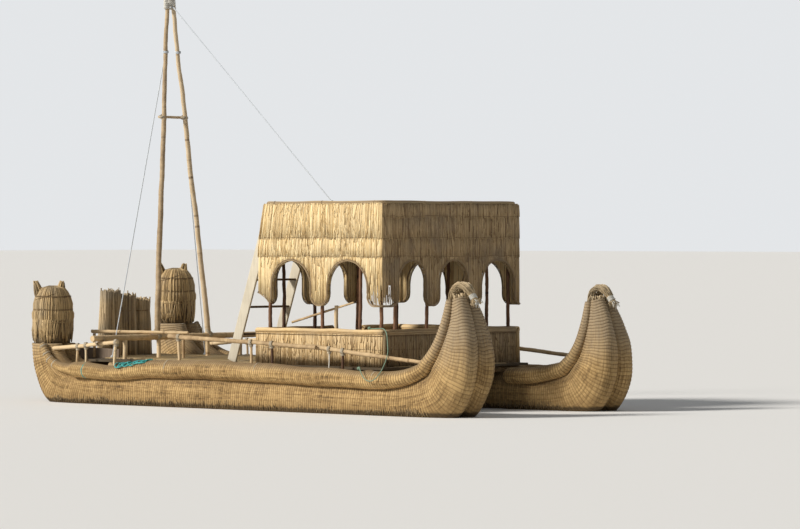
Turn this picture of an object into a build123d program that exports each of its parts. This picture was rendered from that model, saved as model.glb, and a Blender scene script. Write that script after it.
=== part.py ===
from build123d import *
import math
import os

# Double-hulled boat of bound reeds, in millimetres.
# +X runs to the bow, +Y to port and +Z up, with the origin on the waterline, midway between
# the hulls. side is -1 for the starboard hull and +1 for the port hull.

# Hulls
hull_spacing = 3460
lobe_centre = 0.44          # share of a lobe's width from the hull's groove to its middle
lobe_reach = 0.56           # share of a lobe's width from its middle to its outer side
lobe_turns = (48, 95)       # degrees round a lobe at which its arcs begin and pass
hull_rows = [
    # x, z of the axis, slope of the axis, half depth, lobe width, roll angle, roll radius,
    # share of the stern or bow shift
    (-5160, 1060, -90, 350, 360, 20, 60, 1.0),
    (-5030, 680, -66, 380, 400, 34, 70, 0.9),
    (-4730, 370, -38, 440, 460, 45, 82, 0.5),
    (-4100, 235, -12, 455, 505, 44, 100, 0.1),
    (-3000, 203, -2, 457, 524, 43, 130, 0),
    (-1900, 195, 0, 459, 533, 55, 156, 0),
    (0, 190, 0, 460, 535, 57, 162, 0),
    (3050, 175, 0, 460, 510, 48, 150, 0),
    (3900, 195, 8, 455, 500, 52, 138, 0.3),
    (4540, 375, 34, 480, 500, 60, 126, 0.8),
    (4812, 750, 64, 430, 490, 64, 116, 1),
    (4912, 1180, 86, 328, 440, 64, 100, 1),
    (4890, 1620, 98, 208, 330, 60, 80, 0.9),
    (4815, 1990, 106, 118, 225, 58, 62, 0.8),
]
row_steps = 2               # sections for each gap between two rows
stern_shift = {-1: 0, 1: -300}      # the port stern reaches further aft
stern_lift = {-1: 0, 1: 300}        # and stands higher
bow_shift = {-1: 0, 1: 175}         # the port prow reaches further forward
bow_lift = {-1: 0, 1: -90}          # and stands lower

# Rolls along the gunwales
roll_seat = 0.75            # share of its radius by which a roll's middle stands off its hull
blunt_row = 3               # row of hull_rows where the fat outer roll begins
blunt_radius = 140
inner_row = 8               # first row of hull_rows after the inner bow roll's own
inner_start = (3340, 180, 2, 458, 505, 46, 142, 0)

# Curled reeds at the top of each prow
curl_rows = [
    # x and z from the prow's top, slope, half height, half width
    (-115, 130, 58, 66, 195),
    (-10, 215, 8, 60, 160),
    (110, 150, -36, 52, 115),
    (215, 15, -52, 40, 62),
    (270, -75, -56, 50, 80),
]
curl_start_height = 62
curl_corner = 0.98          # share of the half height that the rounded sides take up
curl_knot_row = 3
curl_knot_radius = 16

# Reed heads on the sterns
head_profile = [
    # radius, height
    (335, 0),
    (366, 250),
    (372, 560),
    (330, 850),
    (205, 1010),
]
head_height = 1050
band_heights = [400, 600]
band_radius = 20
band_sink = 0.3             # share of its radius by which a band lies in the head
ear_places = [(-150, -190), (70, 110)]
ear_spread = 1.15           # how much further out an ear's tip stands than its foot
ear_radius = 82
ear_tip_radius = 40
ear_length = 200
ear_sink = 110

# Crossbeams and deck
beam_radius = 60
beam_axis = 690
beam_outboard = 340         # past the hull's centre plane, as far as the outer roll
main_beams = [-4020, -3300, -2450, -1600, -750, 80, 900, 1720, 2300, 2900]
stern_beams = [-5180, -4720]
deck_thickness = 40
deck_aft = -4150
deck_fore = 3130
deck_stbd = -1900
deck_port = 1930
stern_deck_aft = -5330
stern_deck_half = 1130

# Pavilion
room_aft = 30
room_fore = 2960
room_stbd = -1700
room_port = 1900
wall_thickness = 90
wall_foot = 1820
wall_top = 3550
arch_crown = 2600
tongue_radius = 120
side_arches = [(820, 930), (2150, 930)]                   # middle in X, width
end_arches = [(-930, 720), (145, 750), (1320, 900)]       # middle in Y, width
rim_radius = 24
top_roll_radius = 36
parapet_top = 1430
cap_radius = 58
parapet_overhang = 60       # of the side parapets past the aft wall
entrance = (150, 950)       # gap in the aft parapet, from and to in Y
post_radius = 45
side_post_places = [1420, 2320]
end_post_places = [-1210, -400, 700]
roof_beam_radius = 50
roof_beam_axis = 2700
roof_thickness = 40

# Ladder on the aft wall
ladder_foot = -800
ladder_top = 3170
stringer_width = 200
stringer_thickness = 40
stringer_places = [-1400, -350]
tread_rise = 480
tread_count = 4
tread_depth = 170
tread_thickness = 36

# Mast
mast_foot_x = -3520
mast_foot_half = 670
mast_head_x = -3890
mast_head_z = 7560
leg_radius = 62
leg_tip_radius = 40
leg_gap = 44                # from the centreline to a leg's axis at the masthead
lashing_radius = 105
lashing_length = 260
lashing_drop = 110
spreader_z = 5200
spreader_radius = 24
spreader_overhang = 15
stay_radius = 11
forestay_drop = 250         # below the masthead
forestay_y = 0
shroud_height = 6400
shroud_foot = (-4150, 1200)
knot_radius = 26
lash_seat = 0.8             # share of its radius at which a lashed pole or a knot is seated

# Rails and the mast's beam
rail_radius = 40
mast_beam_radius = 55
mast_beam_half = 2300
line_seat_radius = 52       # worn seats for mooring lines on the beam's ends
line_seat_length = 120
rails = [
    # x, outboard from the hull's centre plane and z of both ends
    (-5050, 250, 950, -3000, 430, 1125),
    (-1720, 430, 1250, 1850, 430, 1120),
    (1560, 348, 1140, 4250, 330, 900),
]
rail_posts = [
    # rail, x, radius
    (0, -4150, 26),
    (0, -3915, 22),
    (0, -3060, 30),
    (1, -1470, 30),
    (1, 300, 26),
    (1, 800, 24),
    (2, 2080, 22),
    (2, 2390, 26),
]
beam_props = [-1500, -640, 640, 1500]
prop_radius = 40
inner_pole = ((-4700, -1200), (-2740, -650))
inner_pole_radius = 34
inner_stake_radius = 27
inner_pole_posts = [0.03, 0.95]

# Reed screen across the stern
screen_aft = -5290
screen_fore = -4860
screen_half = 620
screen_top_thickness = 290
screen_top_half = 570
screen_height = 1260
screen_slope = -12
screen_corner = 110

# Rope tied round the fore starboard corner of the parapet, down over the rail and the roll
rope_radius = 8
rope_bend = 0.45            # share of the shorter run that a bend takes up
rope_route = [
    (2620, -1655, 1438.3),
    (2800, -1650, 1448),
    (2960, -1670, 1456),
    (3092, -1742, 1392),
    (3192, -1830, 1284),
    (3290, -1932, 1176),
    (3376, -2016, 1092),
    (3432, -2088, 1036),
    (3468, -2156, 956),
    (3486, -2236, 852),
    (3498, -2334, 738),
    (3452, -2408, 632),
    (3352, -2438, 578),
    (3238, -2442, 612),
    (3144, -2424, 698),
    (3050, -2366, 786),
    (2944, -2268, 812),
    (2846, -2168, 772),
]

os.makedirs("parts", exist_ok=True)


def solids_of(*shapes):
    found = []
    for shape in shapes:
        if isinstance(shape, (list, tuple)):
            found += solids_of(*shape)
        else:
            found += list(shape.solids())
    return found


def save(name, *shapes):
    export_step(Compound(solids_of(*shapes)), f"parts/{name}.step")


def cut(shape, *tools):
    # What is left of a shape's solids outside the tools that reach it
    kept = solids_of(shape)
    for tool in solids_of(*tools):
        left = []
        for solid in kept:
            near = solid.bounding_box().overlaps(tool.bounding_box())
            left += solids_of(solid - tool) if near else [solid]
        kept = left
    return kept


def pole(start, end, radius, tip=None):
    run = Vector(*end) - Vector(*start)
    at_start = (Align.CENTER, Align.CENTER, Align.MIN)
    if tip is None:
        body = Cylinder(radius, run.length, align=at_start)
    else:
        body = Cone(radius, tip, run.length, align=at_start)
    return Plane(origin=start, z_dir=run) * body


def block(low, high):
    size = Vector(*high) - Vector(*low)
    middle = (Vector(*high) + Vector(*low)) * 0.5
    return Pos(*middle) * Box(size.X, size.Y, size.Z)


# Hull bundles. Each hull is two lobes, one each side of the groove on its centre plane.
def hull_y(side):
    return side * hull_spacing / 2


def between(rows, steps):
    # The rows with steps - 1 more in each gap, on smooth curves through the given ones
    along = [0]
    for first, second in zip(rows, rows[1:]):
        along.append(along[-1] + math.dist(first[:2], second[:2]))
    rates = []
    for place in range(len(rows)):
        low, high = max(place - 1, 0), min(place + 1, len(rows) - 1)
        reach = along[high] - along[low]
        rates.append([(b - a) / reach for a, b in zip(rows[low], rows[high])])
    filled = []
    for place in range(len(rows) - 1):
        gap = along[place + 1] - along[place]
        for step in range(steps):
            t = step / steps
            ease = t * t * (3 - 2 * t)
            leave = t * (1 - t) ** 2 * gap
            arrive = -t * t * (1 - t) * gap
            filled.append([a + ease * (b - a) + leave * m + arrive * n for a, b, m, n in
                           zip(rows[place], rows[place + 1], rates[place], rates[place + 1])])
    return filled + [list(rows[-1])]


def shifted(row, side):
    x, z, slope, depth, width, angle, radius, share = row
    shift, lift = (stern_shift, stern_lift) if x < 0 else (bow_shift, bow_lift)
    return (x + share * shift[side], z + share * lift[side],
            slope, depth, width, angle, radius)


def section_plane(x, z, slope, side):
    lean = math.radians(slope)
    return Plane(origin=(x, hull_y(side), z), x_dir=(0, 1, 0),
                 z_dir=(math.cos(lean), 0, math.sin(lean)))


def lobe_wire(row, side, way):
    x, z, slope, depth, width, _, _ = shifted(row, side)
    plane = section_plane(x, z, slope, side)

    def rim(angle):
        out = width * (lobe_centre + lobe_reach * math.cos(math.radians(angle)))
        return plane.from_local_coords((way * out, depth * math.sin(math.radians(angle)), 0))

    corner = math.degrees(math.acos(-lobe_centre / lobe_reach))
    joint, passing = lobe_turns
    return Wire([
        ThreePointArc(rim(corner), rim(passing), rim(joint)),
        ThreePointArc(rim(joint), rim(0), rim(-joint)),
        ThreePointArc(rim(-joint), rim(-passing), rim(-corner)),
        Line(rim(-corner), rim(corner)),
    ])


def lobe(side, way):
    rows = between(hull_rows, row_steps)
    return Solid.make_loft([lobe_wire(row, side, way) for row in rows], ruled=True)


# Rolls. A roll's middle stands off the lobe's outline, at the row's roll angle.
def roll_point(row, side, way, radius):
    x, z, slope, depth, width, angle, _ = shifted(row, side)
    turn = math.radians(angle)
    stand = roll_seat * radius
    out = width * lobe_centre + (width * lobe_reach + stand) * math.cos(turn)
    rise = (depth + stand) * math.sin(turn)
    return section_plane(x, z, slope, side).from_local_coords((way * out, rise, 0))


def ring_wire(plane, radius):
    # A circle of four arcs
    eighth = [plane.from_local_coords((radius * math.cos(turn), radius * math.sin(turn), 0))
              for turn in (place * math.pi / 4 for place in range(8))]
    return Wire([ThreePointArc(eighth[place], eighth[place + 1], eighth[(place + 2) % 8])
                 for place in (0, 2, 4, 6)])


def roll(rows, radii, side, way, end_slope=None):
    points = [roll_point(row, side, way, radius) for row, radius in zip(rows, radii)]
    rings = []
    for place, (point, radius) in enumerate(zip(points, radii)):
        before = points[max(place - 1, 0)]
        after = points[min(place + 1, len(points) - 1)]
        ahead = (after - before).normalized()
        if end_slope is not None and place == len(points) - 1:
            lean = math.radians(end_slope)
            ahead = Vector(math.cos(lean), 0, math.sin(lean))
        across = Vector(0, 1, 0) - ahead * ahead.Y
        rings.append(ring_wire(Plane(origin=point, x_dir=across, z_dir=ahead), radius))
    return Solid.make_loft(rings, ruled=True), points


def row_radii(rows):
    return [row[6] for row in rows]


def outer_roll(side):
    top_slope = hull_rows[-1][2]
    rows = between([(*hull_rows[blunt_row][:6], blunt_radius, hull_rows[blunt_row][7])]
                   + hull_rows[blunt_row + 1:], row_steps)
    fat, points = roll(rows, row_radii(rows), side, side, top_slope)
    thin_rows = between(hull_rows[:blunt_row + 1], row_steps)
    thin, _ = roll(thin_rows, row_radii(thin_rows), side, side)
    return fat + Pos(*points[0]) * Sphere(blunt_radius) + thin


def inner_roll(side):
    rows = between([inner_start] + hull_rows[inner_row:], row_steps)
    fat, points = roll(rows, row_radii(rows), side, -side, hull_rows[-1][2])
    return fat + Pos(*points[0]) * Sphere(inner_start[6])


# Curl. The ends of both rolls run on as one flat bundle, forward and down to a knot.
def curl_wire(plane, half_height, half_width):
    corner = half_height * curl_corner
    flat = half_width - corner
    place = plane.from_local_coords
    return Wire([
        Line(place((-flat, -corner, 0)), place((flat, -corner, 0))),
        ThreePointArc(place((flat, -corner, 0)), place((half_width, 0, 0)), place((flat, corner, 0))),
        Line(place((flat, corner, 0)), place((-flat, corner, 0))),
        ThreePointArc(place((-flat, corner, 0)), place((-half_width, 0, 0)),
                      place((-flat, -corner, 0))),
    ])


def prow_curl(side):
    x, z, slope, _, width, angle, radius = shifted(hull_rows[-1], side)
    ends = [roll_point(hull_rows[-1], side, way, radius) for way in (-1, 1)]
    middle = (ends[0] + ends[1]) * 0.5
    start = section_plane(middle.X, middle.Z, slope, side)
    wires = [curl_wire(start, curl_start_height, abs(ends[1].Y - ends[0].Y) / 2 + radius)]
    for step_x, step_z, lean, half_height, half_width in curl_rows:
        plane = section_plane(x + step_x, z + step_z, lean, side)
        wires.append(curl_wire(plane, half_height, half_width))
    body = Solid.make_loft(wires, ruled=True)
    step_x, step_z, lean, half_height, half_width = curl_rows[curl_knot_row]
    knot_plane = section_plane(x + step_x, z + step_z, lean, side)
    knot_path = curl_wire(knot_plane, half_height, half_width)
    knot_start = Plane(origin=knot_path @ 0, z_dir=knot_path % 0)
    knot = sweep(knot_start * Circle(curl_knot_radius), path=knot_path)
    return body + knot


# Stern heads stand on the flat tops of the hulls' aft ends.
def stern_head(side):
    x, z, _, _, _, _, _ = shifted(hull_rows[0], side)
    (r0, h0), (r1, h1), (r2, h2), (r3, h3), (r4, h4) = head_profile
    outline = make_face([
        Line((0, h0), (r0, h0)),
        ThreePointArc((r0, h0), (r1, h1), (r2, h2)),
        ThreePointArc((r2, h2), (r3, h3), (r4, h4)),
        Line((r4, h4), (0, head_height)),
        Line((0, head_height), (0, h0)),
    ])
    body = revolve(Plane.XZ * outline, Axis.Z)
    for height in band_heights:
        body += Pos(0, 0, height) * Torus(r2 - band_radius * band_sink, band_radius)
    for ear_x, ear_y in ear_places:
        foot = head_height - ear_sink
        tip = (ear_x * ear_spread, ear_y * ear_spread, foot + ear_length)
        body += pole((ear_x, ear_y, foot), tip, ear_radius, ear_tip_radius)
    return Pos(x, hull_y(side), z) * body


lobes = {}
outer_rolls = {}
bow_rolls = {}
for side, label in ((-1, "stbd"), (1, "port")):
    lobes[side] = [lobe(side, side), lobe(side, -side)]
    outer_rolls[side] = cut(outer_roll(side), lobes[side])
    save(f"hull_outer_bundle_{label}", lobes[side][0])
    save(f"hull_inner_bundle_{label}", lobes[side][1])
    save(f"gunwale_roll_{label}", outer_rolls[side])
    bow_rolls[side] = cut(inner_roll(side), lobes[side])
    save(f"bow_roll_{label}", bow_rolls[side])
    save(f"prow_curl_{label}", prow_curl(side))
    save(f"stern_head_{label}", stern_head(side))
all_lobes = lobes[-1] + lobes[1]
all_rolls = outer_rolls[-1] + outer_rolls[1] + bow_rolls[-1] + bow_rolls[1]

# Crossbeams lie bedded in the tops of the bundles and carry the deck.
beam_top = beam_axis + beam_radius
deck_top = beam_top + deck_thickness
beam_half = hull_spacing / 2 + beam_outboard
beams = [pole((x, -beam_half, beam_axis), (x, beam_half, beam_axis), beam_radius)
         for x in main_beams]
beams += [pole((x, -hull_spacing / 2, beam_axis), (x, hull_spacing / 2, beam_axis), beam_radius)
          for x in stern_beams]
beams = [cut(beam, all_lobes, all_rolls) for beam in beams]
save("crossbeams", beams)
deck = block((deck_aft, deck_stbd, beam_top), (deck_fore, deck_port, deck_top))
deck += block((stern_deck_aft, -stern_deck_half, beam_top), (deck_aft, stern_deck_half, deck_top))
save("deck", cut(deck, all_lobes, all_rolls))


# Pavilion walls. The lower edge is a row of arches with rounded tongues between them.
def wavy_edge(start, end, arches, inset):
    # from start to end, with each arch smaller and each tongue larger by inset
    foot = wall_foot - inset
    turn = tongue_radius + inset
    edges = []
    along = start
    for middle, width in arches:
        half = width / 2 - inset
        left, right = middle - half, middle + half
        spring = arch_crown - width / 2
        lean = turn * math.sqrt(0.5)
        edges += [
            Line((along, foot), (left - turn, foot)),
            ThreePointArc((left - turn, foot), (left - turn + lean, foot + turn - lean),
                          (left, foot + turn)),
            Line((left, foot + turn), (left, spring)),
            ThreePointArc((left, spring), (middle, spring + half), (right, spring)),
            Line((right, spring), (right, foot + turn)),
            ThreePointArc((right, foot + turn), (right + turn - lean, foot + turn - lean),
                          (right + turn, foot)),
        ]
        along = right + turn
    edges.append(Line((along, foot), (end, foot)))
    return edges


def arched_wall(start, end, arches):
    edges = wavy_edge(start, end, arches, 0)
    edges += [Line((end, wall_foot), (end, wall_top)), Line((end, wall_top), (start, wall_top)),
              Line((start, wall_top), (start, wall_foot))]
    return extrude(make_face(edges), wall_thickness)


def arch_rim(start, end, arches):
    path = Wire(wavy_edge(start, end, arches, rim_radius))
    ring = Plane(origin=path @ 0, z_dir=path % 0) * Circle(rim_radius)
    return Pos(0, 0, wall_thickness / 2) * sweep(ring, path=path)


def low_wall(start, end):
    core_top = parapet_top - cap_radius
    outline = Pos(0, (deck_top + core_top) / 2) * Rectangle(wall_thickness, core_top - deck_top)
    outline += Pos(0, core_top) * Circle(cap_radius)
    return Pos(0, 0, start) * extrude(outline, end - start)


inner_stbd = room_stbd + wall_thickness
inner_port = room_port - wall_thickness
inner_aft = room_aft + wall_thickness
inner_fore = room_fore - wall_thickness
# The end walls run the full width, with the side walls between them.
# Local X, Y and Z of a side wall are X, Z and -Y, and of an end wall Y, Z and X.
side_faces = {"stbd": inner_stbd, "port": room_port}
end_faces = {"aft": room_aft, "fore": inner_fore}
for label, face in side_faces.items():
    plane = Plane(origin=(0, face, 0), x_dir=(1, 0, 0), z_dir=(0, -1, 0))
    save(f"upper_wall_{label}", plane * arched_wall(inner_aft, inner_fore, side_arches))
    save(f"arch_rim_{label}", plane * arch_rim(inner_aft, inner_fore, side_arches))
for label, face in end_faces.items():
    plane = Plane(origin=(face, 0, 0), x_dir=(0, 1, 0), z_dir=(1, 0, 0))
    save(f"upper_wall_{label}", plane * arched_wall(room_stbd, room_port, end_arches))
    save(f"arch_rim_{label}", plane * arch_rim(room_stbd, room_port, end_arches))

low_aft = room_aft - parapet_overhang
half_wall = wall_thickness / 2
cap_clear = max(cap_radius, half_wall)
for label, middle in (("stbd", room_stbd + half_wall), ("port", room_port - half_wall)):
    plane = Plane(origin=(0, middle, 0), x_dir=(0, 1, 0), z_dir=(1, 0, 0))
    save(f"parapet_{label}", plane * low_wall(low_aft, room_fore))
end_start = room_stbd + half_wall + cap_clear
end_stop = room_port - half_wall - cap_clear
for label, middle, spans in (
        ("aft", room_aft + half_wall, [(end_start, entrance[0]), (entrance[1], end_stop)]),
        ("fore", room_fore - half_wall, [(end_start, end_stop)])):
    plane = Plane(origin=(middle, 0, 0), x_dir=(1, 0, 0), z_dir=(0, -1, 0))
    save(f"parapet_{label}", [plane * low_wall(-stop, -start) for start, stop in spans])

# Roll along the top of the upper walls
top_path = Plane(origin=((room_aft + room_fore) / 2, (room_stbd + room_port) / 2,
                         wall_top + top_roll_radius)) * RectangleRounded(
    room_fore - room_aft - wall_thickness, room_port - room_stbd - wall_thickness,
    wall_thickness).wire()
top_start = Plane(origin=top_path @ 0, z_dir=top_path % 0)
top_roll = sweep(top_start * Circle(top_roll_radius), path=top_path)
save("top_roll", top_roll)

# Posts inside the walls, with the roof's beams on them and its floor on the beams
post_top = roof_beam_axis - roof_beam_radius
post_stand = cap_clear - half_wall + post_radius    # posts stand against the parapets' caps
row_aft = inner_aft + post_stand
row_fore = inner_fore - post_stand
row_stbd = inner_stbd + post_stand
row_port = inner_port - post_stand
roof_rows = [row_aft] + side_post_places + [row_fore]
post_places = [(x, y) for x in roof_rows for y in (row_stbd, row_port)]
post_places += [(x, y) for x in (row_aft, row_fore) for y in end_post_places]
save("room_posts", [pole((x, y, deck_top), (x, y, post_top), post_radius)
                    for x, y in post_places])
save("roof_beams", [pole((x, inner_stbd, roof_beam_axis), (x, inner_port, roof_beam_axis),
                         roof_beam_radius) for x in roof_rows])
roof_foot = roof_beam_axis + roof_beam_radius
save("roof_floor", block((inner_aft, inner_stbd, roof_foot),
                         (inner_fore, inner_port, roof_foot + roof_thickness)))

# Ladder: two planks that lean on the aft wall, with treads between them
ladder_rise = ladder_top - deck_top
plank_lean = math.atan2(ladder_rise, room_aft - ladder_foot)
plank_shift = stringer_width / math.sin(plank_lean)


def ladder_x(z):
    # X of the planks' lower edge at a height
    return ladder_foot - plank_shift + (z - deck_top) / math.tan(plank_lean)


plank = make_face(Polyline(
    (ladder_x(deck_top), deck_top), (ladder_x(deck_top) + plank_shift, deck_top),
    (room_aft, ladder_top), (ladder_x(ladder_top), ladder_top), close=True))
save("ladder_planks", [Pos(0, y + stringer_thickness / 2, 0) * extrude(Plane.XZ * plank,
                                                                      stringer_thickness)
                       for y in stringer_places])
treads = []
for step in range(1, tread_count + 1):
    tread_z = deck_top + step * tread_rise
    tread_x = ladder_x(tread_z) + plank_shift / 2
    treads.append(block(
        (tread_x - tread_depth / 2, stringer_places[0] + stringer_thickness / 2, tread_z),
        (tread_x + tread_depth / 2, stringer_places[1] - stringer_thickness / 2,
         tread_z + tread_thickness)))
save("ladder_treads", treads)


# Rails on posts that stand in the gunwale rolls
def rail_ends(rail, side):
    x0, out0, z0, x1, out1, z1 = rail
    return ((x0, hull_y(side) + side * out0, z0), (x1, hull_y(side) + side * out1, z1))


def rail_point(rail, side, x):
    start, end = rail_ends(rail, side)
    share = (x - start[0]) / (end[0] - start[0])
    return [a + share * (b - a) for a, b in zip(start, end)]


hull_crown = hull_rows[6][1] + hull_rows[6][3]
for side, label in ((-1, "stbd"), (1, "port")):
    poles = [cut(pole(*rail_ends(rail, side), rail_radius), lobes[side], outer_rolls[side])
             for rail in rails]
    save(f"rail_{label}", poles)
    props = []
    for number, x, radius in rail_posts:
        _, y, z = rail_point(rails[number], side, x)
        upright = pole((x, y, hull_crown), (x, y, z), radius)
        props.append(cut(upright, lobes[side], outer_rolls[side], poles[number]))
    save(f"rail_posts_{label}", props)

# The mast's beam lies on the rails and on props from the deck.
beam_rail_z = rail_point(rails[0], -1, mast_foot_x)[2]
rail_lean = math.atan2(rails[0][5] - rails[0][2], rails[0][3] - rails[0][0])
mast_beam_axis = beam_rail_z + (rail_radius + mast_beam_radius) / math.cos(rail_lean)
full_half = mast_beam_half - line_seat_length
save("mast_beam",
     pole((mast_foot_x, -mast_beam_half, mast_beam_axis),
          (mast_foot_x, mast_beam_half, mast_beam_axis), line_seat_radius)
     + pole((mast_foot_x, -full_half, mast_beam_axis),
            (mast_foot_x, full_half, mast_beam_axis), mast_beam_radius))
save("mast_beam_props", [pole((mast_foot_x, y, deck_top),
                              (mast_foot_x, y, mast_beam_axis - mast_beam_radius), prop_radius)
                         for y in beam_props])

# Two-legged mast, its feet cut level to stand on the beam
leg_foot_z = mast_beam_axis + mast_beam_radius
legs = {}
for side, label in ((-1, "stbd"), (1, "port")):
    leg = pole((mast_foot_x, side * mast_foot_half, mast_beam_axis),
               (mast_head_x, side * leg_gap, mast_head_z), leg_radius, leg_tip_radius)
    legs[side] = leg - block((mast_foot_x - 3 * leg_radius, -2 * mast_foot_half, 0),
                             (mast_foot_x + 3 * leg_radius, 2 * mast_foot_half, leg_foot_z))
    save(f"mast_leg_{label}", legs[side])


def leg_point(z, side):
    share = (z - mast_beam_axis) / (mast_head_z - mast_beam_axis)
    half = mast_foot_half + share * (leg_gap - mast_foot_half)
    return (mast_foot_x + share * (mast_head_x - mast_foot_x), side * half, z)


both_legs = [legs[-1], legs[1]]
lashing_z = mast_head_z - lashing_drop - lashing_length
lashing = pole(leg_point(lashing_z, 0), leg_point(lashing_z + lashing_length, 0), lashing_radius)
lashing = cut(lashing, both_legs)
save("masthead_lashing", lashing)

spread_x, spread_y, _ = leg_point(spreader_z, 1)
spread_leg = leg_radius + (spreader_z - mast_beam_axis) / (mast_head_z - mast_beam_axis) * (
    leg_tip_radius - leg_radius)
spread_x -= spread_leg + spreader_radius * lash_seat
spread_half = spread_y + spread_leg + spreader_overhang
spreader = cut(pole((spread_x, -spread_half, spreader_z), (spread_x, spread_half, spreader_z),
                    spreader_radius), both_legs)
save("mast_spreader", spreader)

# Stays, drawn tight from the mast to the pavilion's top roll and to the deck
stay_top = leg_point(mast_head_z - forestay_drop, 0)
stay_foot = (room_aft + half_wall, forestay_y, wall_top + 2 * top_roll_radius + stay_radius)
forestay = pole(stay_top, stay_foot, stay_radius) + Pos(*stay_foot) * Sphere(knot_radius)
save("forestay", cut(forestay, both_legs, lashing, top_roll))
shrouds = []
for side in (-1, 1):
    top = leg_point(shroud_height, side)
    foot = (shroud_foot[0], side * shroud_foot[1], deck_top + knot_radius * lash_seat)
    shroud = pole(top, foot, stay_radius) + Pos(*foot) * Sphere(knot_radius)
    shrouds.append(cut(shroud, both_legs, spreader, deck))
save("shrouds", shrouds)

# A loose pole beside the mast, laid over its beam
inner_z = leg_foot_z + inner_pole_radius
(pole_aft_x, pole_aft_y), (pole_fore_x, pole_fore_y) = inner_pole
save("inner_pole", pole((pole_aft_x, pole_aft_y, inner_z), (pole_fore_x, pole_fore_y, inner_z),
                        inner_pole_radius))
stakes = []
for share in inner_pole_posts:
    x = pole_aft_x + share * (pole_fore_x - pole_aft_x)
    y = pole_aft_y + share * (pole_fore_y - pole_aft_y)
    stakes.append(pole((x, y, deck_top), (x, y, inner_z - inner_pole_radius),
                       inner_stake_radius))
save("inner_pole_posts", stakes)

# Reed screen: a thick standing mat, thinner at its sloping top
screen_x = (screen_aft + screen_fore) / 2
screen = loft([
    Plane(origin=(screen_x, 0, deck_top)) * RectangleRounded(
        screen_fore - screen_aft, 2 * screen_half, screen_corner),
    Plane(origin=(screen_x, 0, deck_top + screen_height)) * RectangleRounded(
        screen_top_thickness, 2 * screen_top_half, screen_corner),
])
above = Pos(screen_x, 0, deck_top + screen_height) * Rot(screen_slope, 0, 0) * Box(
    4 * screen_half, 4 * screen_half, screen_height, align=(Align.CENTER, Align.CENTER, Align.MIN))
above = Pos(0, 0, -screen_half * math.tan(math.radians(-screen_slope))) * above
save("stern_screen", screen - above)


# Rope
def bend_radii(route):
    radii = []
    for before, point, after in zip(route, route[1:], route[2:]):
        arriving = Vector(*point) - Vector(*before)
        leaving = Vector(*after) - Vector(*point)
        turn = math.radians(arriving.get_angle(leaving))
        radii.append(rope_bend * min(arriving.length, leaving.length) / math.tan(turn / 2))
    return radii


rope_radii = bend_radii(rope_route)
print("rope bends", [round(radius) for radius in rope_radii])
rope_path = FilletPolyline(*rope_route, radius=rope_radii)
rope = sweep(Plane(origin=rope_path @ 0, z_dir=rope_path % 0) * Circle(rope_radius), path=rope_path)
print("rope length", round(rope_path.length),
      "volume ratio", round(rope.volume / (math.pi * rope_radius ** 2 * rope_path.length), 4))
save("tie_rope", rope)
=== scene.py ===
import math
import bpy
import numpy as np
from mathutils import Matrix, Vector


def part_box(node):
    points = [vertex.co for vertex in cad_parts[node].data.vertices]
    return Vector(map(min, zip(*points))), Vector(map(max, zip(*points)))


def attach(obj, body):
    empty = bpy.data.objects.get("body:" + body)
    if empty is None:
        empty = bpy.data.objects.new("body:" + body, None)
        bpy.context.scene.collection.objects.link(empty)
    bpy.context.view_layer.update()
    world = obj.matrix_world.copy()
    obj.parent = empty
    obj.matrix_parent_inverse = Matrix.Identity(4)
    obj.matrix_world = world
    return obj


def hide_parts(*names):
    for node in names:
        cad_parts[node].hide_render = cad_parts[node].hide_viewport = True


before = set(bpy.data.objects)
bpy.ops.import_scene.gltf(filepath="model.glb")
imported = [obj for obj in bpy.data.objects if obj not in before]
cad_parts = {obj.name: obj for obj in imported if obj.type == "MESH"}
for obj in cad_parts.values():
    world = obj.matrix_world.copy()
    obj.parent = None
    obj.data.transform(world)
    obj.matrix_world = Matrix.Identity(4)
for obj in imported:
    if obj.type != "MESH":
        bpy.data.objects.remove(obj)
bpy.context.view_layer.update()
chance = np.random.default_rng(41)
print("frame loaded", len(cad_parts), "nodes")


# Camera at the photograph's viewing angle: far off the starboard bow, just above deck height
view = {"place": (48.576, -51.914, 3.09), "turn": 42.0, "dip": 0.466, "lens": 180, "sensor": 36}


def newObject(name, data):
    holder = bpy.data.objects.new(name, data)
    bpy.context.scene.collection.objects.link(holder)
    return holder


def addCamera():
    camera = bpy.data.cameras.new("viewCamera")
    camera.lens, camera.sensor_width, camera.clip_end = view["lens"], view["sensor"], 2000
    holder = newObject("viewCamera", camera)
    holder.location = view["place"]
    holder.rotation_euler = (math.radians(90 - view["dip"]), 0, math.radians(view["turn"]))
    bpy.context.scene.camera = holder


addCamera()


# Finishes. Signal is one socket of a material, with the arithmetic that the finishes use.
class Signal:
    def __init__(self, finish, socket):
        self.finish, self.socket = finish, socket

    def math(self, operation, first, second=0.0):
        return self.finish.add("ShaderNodeMath", {"operation": operation}, [first, second])

    def __add__(self, other):
        return self.math("ADD", self, other)

    def __radd__(self, other):
        return self.math("ADD", other, self)

    def __sub__(self, other):
        return self.math("SUBTRACT", self, other)

    def __rsub__(self, other):
        return self.math("SUBTRACT", other, self)

    def __mul__(self, other):
        return self.math("MULTIPLY", self, other)

    def __truediv__(self, other):
        return self.math("DIVIDE", self, other)

    def floor(self):
        return self.math("FLOOR", self)

    def fraction(self):
        return self.math("FRACT", self)

    def size(self):
        return self.math("ABSOLUTE", self)

    def between(self, low, high):
        # 0 below low, 1 above high
        return self.finish.add("ShaderNodeMapRange", {"interpolation_type": "SMOOTHSTEP"},
                               [self, low, high, 0.0, 1.0])


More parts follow.
